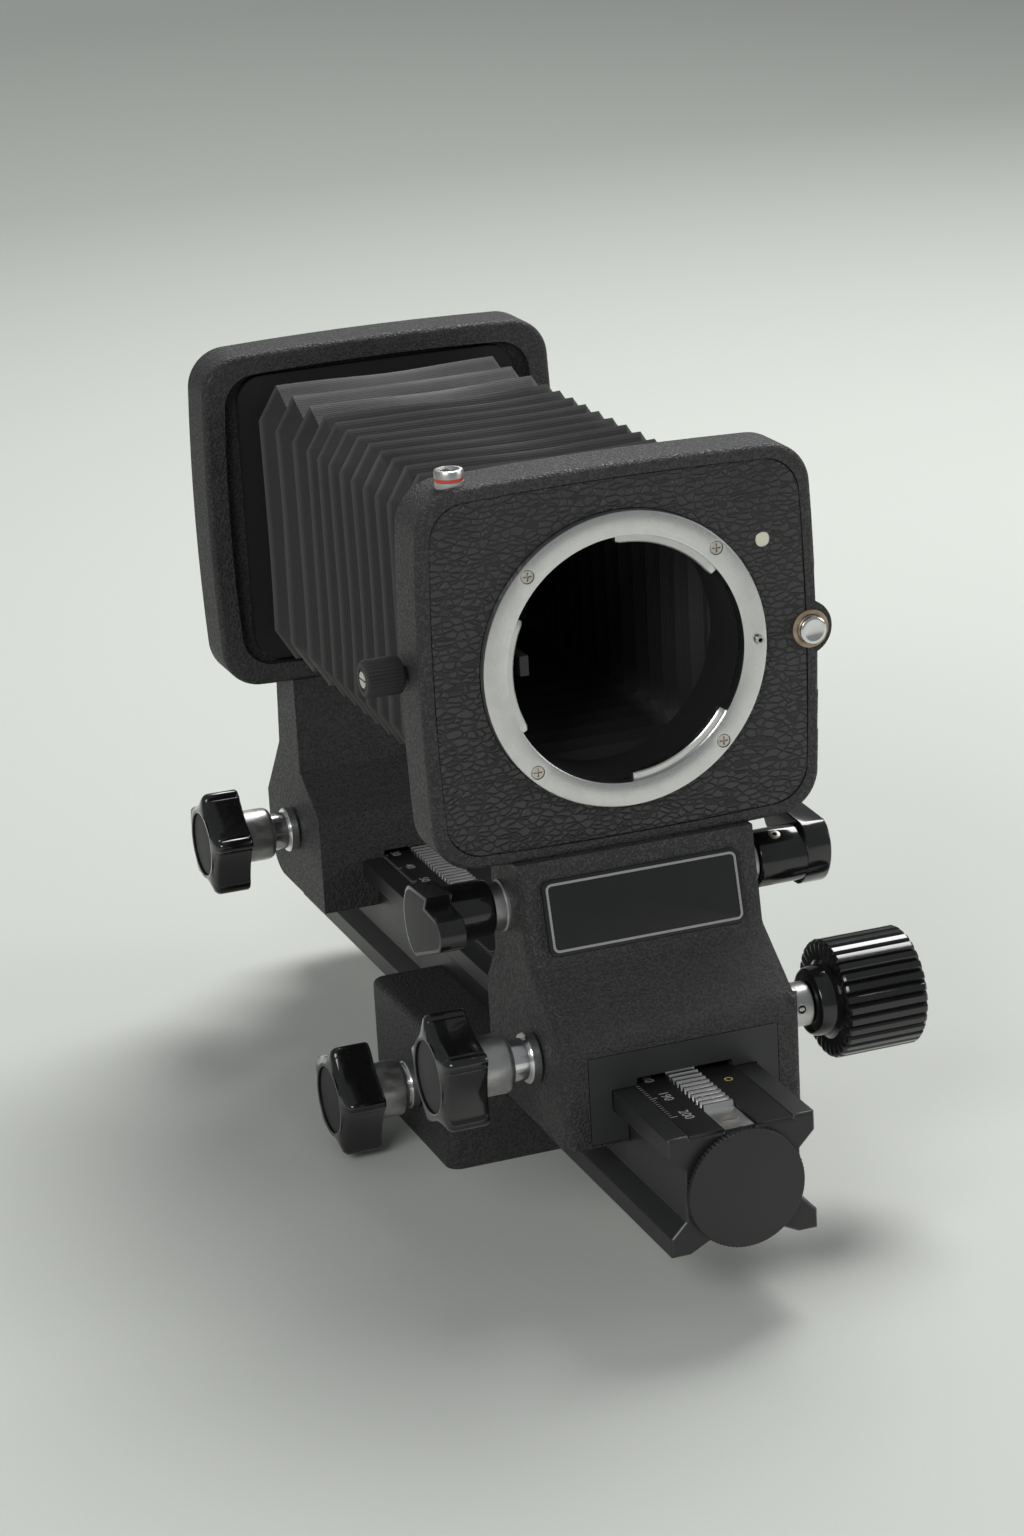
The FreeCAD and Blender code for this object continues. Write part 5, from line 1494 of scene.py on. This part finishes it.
@dataclass
class Neck:
    """The bare nameplate and the cover plate of the lens standard."""

    plate_y: float = -70.2
    plate_z: float = 71.27
    lean: float = 0.2456

    def lift(self, across: float, up: float, height: float) -> Point:
        """Place a point of the plate, its height counted outward."""
        angle = math.atan(self.lean)
        return (across, self.plate_y + up * math.sin(angle) - height * math.cos(angle),
                self.plate_z + up * math.cos(angle) + height * math.sin(angle))

    def nameplate(self) -> None:
        """Build the bare plate with its bright border."""
        outline = rounded(21.2, 7.6, 1.5, 0.0, 0.0, 6, 1)
        levels = [(0.0, 0.0), (0.55, 0.0), (0.75, 0.1), (0.8, 0.3)]
        made = Forge.prism("plate_base", outline, self.lift, levels, Finish.SCALE)
        place_piece(made, "front_standard", "scale_black", "nameplate")
        outer = rounded(20.5, 6.95, 1.35, 0.0, 0.0, 6, 1)
        loops = []
        for inset, height in ((0.0, 0.7), (0.06, 0.95), (0.54, 0.95), (0.6, 0.7)):
            loops.append([self.lift(a, b, height) for a, b in drawn_in(outer, inset)])
        made = Forge.loft("plate_border", loops, Finish.RING, True)
        place_piece(made, "front_standard", "satin_silver")

    def cover(self) -> None:
        """Dress the cover plate round the rail."""
        made = clean_copy("rail_cover_plate", "cover_plate", Finish.COVER)
        place_piece(made, "front_standard", "cover_grey", "rail_cover_plate")

    def build(self) -> None:
        """Build both plates."""
        self.nameplate()
        self.cover()


@dataclass
class RailUnit:
    """The rail with its racks, scale plates and end discs."""

    half: float = 15.4
    low: float = 15.5
    top: float = 40.2
    long: float = 230.0
    waist: float = 12.2
    slot: float = 3.15
    middle: float = 27.85
    disc_gap: float = 0.15
    marks: int = 211

    def section(self) -> list[tuple[float, float]]:
        """The right half of the rail's section, from the bottom up, mirrored into a whole."""
        half, waist, slot, low, top = self.half, self.waist, self.slot, self.low, self.top
        right = [(slot, low + 3.35), (slot, low + 2.0), (7.4, low + 2.0), (11.4, low), (half, low),
                 (half, low + 4.0), (waist, low + 7.2), (waist, top - 7.2), (half, top - 4.0), (half, top),
                 (10.86, top), (10.86, top - 0.6), (slot, top - 0.6), (slot, top - 1.6)]
        return right + [(-x, z) for x, z in reversed(right)]

    def bar(self) -> None:
        """Draw the bar with its lightly worn end chamfers."""
        end = self.long / 2

        def lift(across: float, up: float, height: float) -> Point:
            """Place a point of the bar."""
            return (across, height, up)

        levels = [(-end, 0.45), (-end + 0.45, 0.0), (end - 0.45, 0.0), (end, 0.45)]
        made = Forge.prism("rail_bar", self.section(), lift, levels, Finish.RAIL, 20.0)
        made.data.materials.append(Finish.EDGE.material())
        for face in made.data.polygons:
            middle = face.center.y / MM
            if end - 0.44 < abs(middle) < end - 0.01:
                face.material_index = 1
        Forge.bevel(made, 0.18, 2, 30.0)
        place_piece(made, "rail", "black_anodised", "rail")

    def plates(self) -> None:
        """Lay the scale plates with their divisions and plain numbers."""
        for side, node in ((-1, "left_scale_plate"), (1, "right_scale_plate")):
            low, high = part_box(node)
            centre = [(low[i] + high[i]) / 2 / MM for i in range(3)]
            half = [(high[i] - low[i]) / 2 / MM for i in range(3)]
            outline = [(-half[0], -half[1]), (half[0], -half[1]), (half[0], half[1]), (-half[0], half[1])]

            def lift(across: float, along: float, height: float) -> Point:
                """Place a point of the plate."""
                return (centre[0] + across, centre[1] + along, centre[2] + height)

            made = Forge.prism(f"{node}_strip", outline, lift,
                               [(-half[2], 0.0), (half[2] - 0.1, 0.0), (half[2] - 0.01, 0.09)], Finish.SCALE)
            place_piece(made, "rail", "scale_black", node)
        top = self.top
        first = -105.0
        made = row_of_marks("millimetre_marks", (-10.2, first, top), (0.0, 1.0, 0.0), self.marks,
                            (0.75, 0.1, 0.05), Finish.MARK)
        place_piece(made, "rail", "white_paint")
        made = row_of_marks("centimetre_marks", (-9.8, first, top), (0.0, 10.0, 0.0), 22, (1.6, 0.16, 0.06),
                            Finish.MARK)
        place_piece(made, "rail", "white_paint")
        turn = Matrix.Rotation(-math.pi / 2, 4, "Z")
        for index in range(21):
            value = 200 - 10 * index
            at = Matrix.Translation((-7.2, first + 10 * index, top + 0.01))
            made = lettering(f"scale_number_{value}", str(value), 2.1, at @ turn, 0.04, Finish.MARK)
            place_piece(made, "rail", "white_paint")
        axis = z_axis(7.1, -93.0, top)
        ring = [(-0.03, 0.62), (0.02, 0.62), (0.02, 0.86), (-0.03, 0.86)]
        made = Forge.turned("index_ring", axis, ring, Finish.GOLD, 32, None, True)
        place_piece(made, "rail", "brass")

    def racks(self) -> None:
        """Dress both racks and their screws."""
        for node, name in (("upper_rack", "upper_rack_teeth"), ("lower_rack", "lower_rack_teeth")):
            made = clean_copy(node, name, Finish.RACK, 20.0)
            place_piece(made, "rail", "rack_silver", node)
        made = clean_copy("rack_screws", "rack_screw_heads", Finish.SCREW, 25.0)
        place_piece(made, "rail", "screw_steel", "rack_screws")

    def end_disc(self, name: str, side: int) -> None:
        """Turn an end disc with a fine knurled rim.

        Args:
            name: the node's name.
            side: -1 for the front, 1 for the rear.
        """
        axis = y_axis(0.0, side * (self.long / 2 + self.disc_gap), self.middle, side)
        teeth = 84
        wave = knurl(teeth, 0.5, (0, 0, 0, 1, 1, 0.6, 0, 0, 0))
        profile = [(-6.0, 0.0), (-6.0, 3.0), (0.0, 3.0), (0.0, 12.05), (0.2, 12.2), (1.55, 12.2),
                   (1.75, 12.0), (1.9, 11.6), (1.9, 0.0)]
        made = Forge.turned(f"{name}_knurled", axis, profile, Finish.CAP, teeth * 4, wave, False, 40.0)
        place_piece(made, name.replace("_end", ""), "matte_black", name)

    def build(self) -> None:
        """Build the rail unit."""
        self.bar()
        self.plates()
        self.racks()
        self.end_disc("front_end_disc", -1)
        self.end_disc("rear_end_disc", 1)


@dataclass
class BellowsUnit:
    """The pleated bellows in two halves that meet on a fold."""

    start: float = -50.0
    end: float = 77.0
    height: float = 120.7
    half_x: float = 30.4
    half_z: float = 31.8
    cut_x: float = 4.6
    cut_z: float = 7.4
    deep: float = 5.5
    wall: float = 0.8
    wide: int = 3
    wide_pitch: float = 12.1
    narrow: int = 12
    split: int = 9
    uneven: float = 0.18
    slack: float = 0.35

    def folds(self) -> list[tuple[float, float]]:
        """Where the folds lie along the bellows and how far in each is drawn."""
        turn = self.end - self.wide * self.wide_pitch
        step = (turn - self.start) / self.narrow
        valleys = [self.start + index * step for index in range(self.narrow)]
        valleys += [turn + index * self.wide_pitch for index in range(self.wide)] + [self.end]
        rows = []
        for here, there in zip(valleys, valleys[1:]):
            rows.append((here, self.deep))
            rows.append(((here + there) / 2, 0.0))
        rows.append((self.end, self.deep))
        return rows

    def section(self, along: float, inset: float, shrink: float) -> Loop:
        """The outline at one fold, with many points along each side.

        Args:
            along: its place.
            inset: how far the fold is drawn in.
            shrink: how far the whole is drawn in, for the inner skin.

        Returns:
            The outline.
        """
        across = self.half_x - inset - shrink
        up = self.half_z - inset - shrink
        open_share = max(0.06, 1 - inset / self.deep)
        quarter = [(across, up - self.cut_z * open_share), (across - self.cut_x * open_share, up)]
        corners = quarter + [(-x, z) for x, z in reversed(quarter)]
        corners += [(-x, -z) for x, z in corners]
        points = []
        for index, (x, z) in enumerate(corners):
            next_x, next_z = corners[(index + 1) % 8]
            pieces = 4 if index % 2 == 0 else 12
            for part in range(pieces):
                share = part / pieces
                px, pz = x + (next_x - x) * share, z + (next_z - z) * share
                wobble = self.uneven * math.sin(along * 1.7 + px * 0.16) * math.sin(pz * 0.11 + along * 0.9)
                sag = self.slack * math.sin(math.pi * share) if index % 2 else 0.0
                length = math.hypot(px, pz)
                scale = 1 + (wobble - sag * (1 if inset == 0 else 0.3)) / length
                points.append((px * scale, along, self.height + pz * scale))
        return points

    def half(
        self, name: str, rows: Sequence[tuple[float, float]], body: str, start: float, end: float
    ) -> None:
        """Build one half.

        Args:
            name: the piece's name.
            rows: its folds.
            body: the standard at its far end, only named in the log.
            start: where it starts to leave the rail; not used.
            end: where it follows the standard fully; not used.
        """
        fine: list[tuple[float, float, float]] = []
        for (here, inset), (there, next_inset) in zip(rows, rows[1:]):
            for part in range(4):
                share = part / 4
                fine.append((here + (there - here) * share, inset + (next_inset - inset) * share,
                             1 - (inset + (next_inset - inset) * share) / self.deep))
        fine.append((rows[-1][0], rows[-1][1], 1 - rows[-1][1] / self.deep))
        outer = [self.section(along, inset, 0.0) for along, inset, _ in fine]
        inner = [self.section(along, inset, self.wall) for along, inset, _ in reversed(fine)]
        made = Forge.loft(name, outer + inner, Finish.CLOTH, True, 35.0)
        # the fold value, 1 on the ridges and 0 in the valleys, drives the cloth's painted ridge highlight
        level = made.data.attributes.new("fold", "FLOAT", "POINT")
        places = [(along * MM, value) for along, _, value in fine]
        values = []
        for vertex in made.data.vertices:
            values.append(min(places, key=lambda item: abs(item[0] - vertex.co.y))[1])
        level.data.foreach_set("value", values)
        start * MM
        end * MM
        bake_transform(made)
        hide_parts("bellows")
        LOG.info("%s blends from the rail to %s", name, body)

    def build(self) -> None:
        """Build both halves."""
        rows = self.folds()
        cut = 2 * self.split
        middle = rows[cut][0]
        self.half("bellows_front", rows[:cut + 1], "front_standard", middle, self.start)
        self.half("bellows_rear", rows[cut:], "rear_standard", middle, self.end)


@dataclass
class CameraMount:
    """The turning camera mount at the rear, with its lock screw."""

    back: float = 89.1
    height: float = 120.7
    lug_starts: tuple[float, ...] = (37.3, 152.6, 271.4)
    lug_angle: float = 55.0
    lock_y: float = 86.1

    def build(self) -> None:
        """Turn the mount, its lugs and the lock screw."""
        axis = y_axis(0.0, self.back, self.height)
        teeth = 120
        wave = knurl(teeth, 0.35, (0, 0, 0, 0, 0, 1, 1, 0, 0, 0, 0, 0, 0))
        profile = [(-6.0, 19.5), (-6.0, 24.0), (0.25, 24.0), (0.25, 28.6), (0.25, 28.7), (0.5, 29.0),
                   (2.4, 29.0), (2.7, 28.6), (4.25, 28.2), (4.25, 21.8), (9.0, 21.8), (9.25, 21.5),
                   (9.25, 19.5)]
        made = Forge.turned("camera_ring", axis, profile, Finish.RING, teeth * 4, wave, True, 40.0)
        place_piece(made, "camera_mount", "satin_silver", "camera_mount_ring")
        section = [(7.75, 21.6), (7.75, 23.1), (7.95, 23.3), (9.05, 23.3), (9.25, 23.1), (9.25, 21.6)]
        steps = 22
        for index, start in enumerate(self.lug_starts):
            loops = []
            for step in range(steps + 1):
                angle = math.radians(start + self.lug_angle * step / steps)
                loops.append([axis.at(h, r, angle) for h, r in section])
            lug = Forge.loft(f"camera_lug_{index + 1}", loops, Finish.RING)
            place_piece(lug, "camera_mount", "satin_silver")
        side = x_axis(self.lock_y, self.height)
        teeth = 30
        wave = knurl(teeth, 0.28, (0, 0, 0, 0, 1, 1, 0, 0))
        screw = [(24.15, 0.0), (24.15, 1.4), (42.45, 1.4), (42.45, 3.5), (42.8, 3.8), (50.5, 3.8),
                 (50.9, 3.4), (51.0, 0.0)]
        made = Forge.turned("turn_lock_screw", side, screw, Finish.CAP, teeth * 6, wave, False, 40.0)
        place_piece(made, "rotation_lock", "knob_black", "rotation_lock_screw")


@dataclass
class Castings:
    """The painted castings and the small parts that keep their CAD shape."""

    finishes: dict[str, tuple[str, Finish, str, str]] = field(default_factory=lambda: {
        "front_casting": ("front_standard_casting", Finish.CRINKLE, "front_standard", "crinkle_black"),
        "rear_casting": ("rear_standard_casting", Finish.CRINKLE, "rear_standard", "crinkle_black"),
        "stage_body": ("stage_casting", Finish.CRINKLE, "stage", "crinkle_black"),
        "front_bellows_frame": ("front_frame_plate", Finish.DARK, "front_standard", "flock_black"),
        "rear_bellows_frame": ("rear_frame_plate", Finish.DARK, "rear_standard", "flock_black"),
        "throat_tube": ("throat_lining", Finish.DARK, "front_standard", "flock_black"),
        "stop_down_shaft": ("stop_linkage", Finish.CAP, "stop_down", "plated_steel"),
    })
    kept: dict[str, Finish] = field(default_factory=lambda: {
        "stage_gib": Finish.BRASS,
        "tripod_bush": Finish.PLATED,
        "stage_brake_pad": Finish.BRASS,
        "front_brake_pad": Finish.BRASS,
        "rear_brake_pad": Finish.BRASS,
        "stage_drive_shaft": Finish.PLATED,
        "front_drive_shaft": Finish.PLATED,
        "rear_drive_shaft": Finish.PLATED,
        "release_plunger": Finish.PLATED,
        "clamp_collars": Finish.PLATED,
    })

    neck_half: float = 25.5
    neck_back: float = -66.0
    neck_low: float = 51.0
    neck_high: float = 80.0
    crease_z: float = 51.7
    crease_back: float = -86.0
    neck_round: float = 2.4

    def on_neck(self, first: Vector, second: Vector) -> bool:
        """Whether an edge of the neck or the base is one of its outer corners."""
        ends = (first, second)
        at_side = all(abs(abs(end.x) - self.neck_half) < 0.05 and end.y < self.neck_back for end in ends)
        above_base = all(self.neck_low < end.z < self.neck_high for end in ends)
        at_crease = all(abs(end.z - self.crease_z) < 0.1 and end.y < self.crease_back for end in ends)
        return at_side and above_base or at_crease

    def build(self) -> None:
        """Dress every piece."""
        for node, (name, finish, body, slot) in self.finishes.items():
            made = clean_copy(node, name, finish)
            if node == "front_casting":
                soften(made, self.neck_round, self.on_neck)
            place_piece(made, body, slot, node)
        for node, finish in self.kept.items():
            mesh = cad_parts[node].data
            mesh.materials.clear()
            mesh.materials.append(finish.material())
            LOG.info("%s keeps its CAD shape", node)


@dataclass
class Studio:
    """The floor, the lamps and the camera."""

    lens: float = 89.84
    eye: Point = (-0.266315, -0.733720, 0.337380)

    def floor(self) -> None:
        """Lay a pale floor that curves up into a backdrop."""
        points = []
        profile = [(-2.0, 0.0), (1.2, 0.0), (1.6, 0.04), (1.9, 0.16), (2.1, 0.4), (2.2, 0.8), (2.2, 3.0)]
        for y, z in profile:
            points += [(-3000.0, y * 1000, z * 1000), (3000.0, y * 1000, z * 1000)]
        faces = [(2 * i, 2 * i + 1, 2 * i + 3, 2 * i + 2) for i in range(len(profile) - 1)]
        made = Forge.piece("studio_floor", points, faces, Finish.WHITE, 60.0, False)
        g = Graph("studio_paper")
        grain = g.noise(g.place(), 900.0, 3.0)
        colour = g.mix(grain * 0.3, (0.62, 0.64, 0.6, 1.0), (0.7, 0.71, 0.67, 1.0))
        g.finish(Base_Color=colour, Roughness=0.9)
        made.data.materials.clear()
        made.data.materials.append(g.material)

    def lamp(self, name: str, at: Point, aim: Point, size: float, power: float) -> None:
        """Hang a soft square lamp.

        Args:
            name: its name.
            at: where it hangs.
            aim: what it points at.
            size: its side.
            power: its power in watts.
        """
        light = bpy.data.lights.new(name, "AREA")
        light.shape = "RECTANGLE"
        light.size = size
        light.size_y = size * 0.7
        light.energy = power
        made = bpy.data.objects.new(name, light)
        bpy.context.scene.collection.objects.link(made)
        made.location = at
        made.rotation_mode = "QUATERNION"
        made.rotation_quaternion = (Vector(aim) - Vector(at)).to_track_quat("-Z", "Y")

    def camera(self) -> None:
        """Stand the camera where the photograph was taken."""
        across = Vector((0.93268883, -0.35660536, -0.05407548))
        up = Vector((0.16037035, 0.27572445, 0.94776441))
        back = Vector((-0.32306794, -0.89264139, 0.31435404))
        data = bpy.data.cameras.new("view")
        data.sensor_fit = "VERTICAL"
        data.sensor_height = 36.0
        data.sensor_width = 24.0
        data.lens = self.lens
        data.clip_start = 0.01
        made = bpy.data.objects.new("view", data)
        bpy.context.scene.collection.objects.link(made)
        turn = Matrix((across, up, back)).transposed().to_4x4()
        made.matrix_world = Matrix.Translation(self.eye) @ turn
        bpy.context.scene.camera = made

    def build(self) -> None:
        """Light the scene."""
        self.floor()
        self.lamp("window", (0.5, 0.5, 1.1), (0.0, 0.0, 0.08), 0.8, 14.0)
        self.lamp("front_fill", (-0.9, -0.9, 0.8), (0.0, 0.0, 0.08), 0.7, 7.0)
        self.lamp("side_fill", (1.2, -0.5, 0.5), (0.0, 0.0, 0.06), 0.7, 3.0)
        self.camera()
        world = bpy.data.worlds.new("studio_air")
        world.use_nodes = True
        world.node_tree.nodes["Background"].inputs[0].default_value = (0.75, 0.78, 0.8, 1.0)
        world.node_tree.nodes["Background"].inputs[1].default_value = 0.3
        bpy.context.scene.world = world
        bpy.context.scene.view_settings.view_transform = "Standard"


def main() -> None:
    """Build the whole unit, then the studio."""
    logging.basicConfig(level=logging.INFO, format="%(message)s")
    Castings().build()
    LensMount().build()
    LensPanel().build()
    Neck().build()
    ClampLever("left_clamp", -1, 4.0).build()
    ClampLever("right_clamp", 1, 160.0).build()
    KnobAxis("front", -72.5, 44.0, 25.5, 30.0).build()
    KnobAxis("rear", 83.5, 44.0, 25.5, 12.0).build()
    KnobAxis("stage", -4.0, 12.9, 28.5, 10.0).build()
    RailUnit().build()
    BellowsUnit().build()
    CameraMount().build()
    Studio().build()


if __name__ == "__main__":
    main()
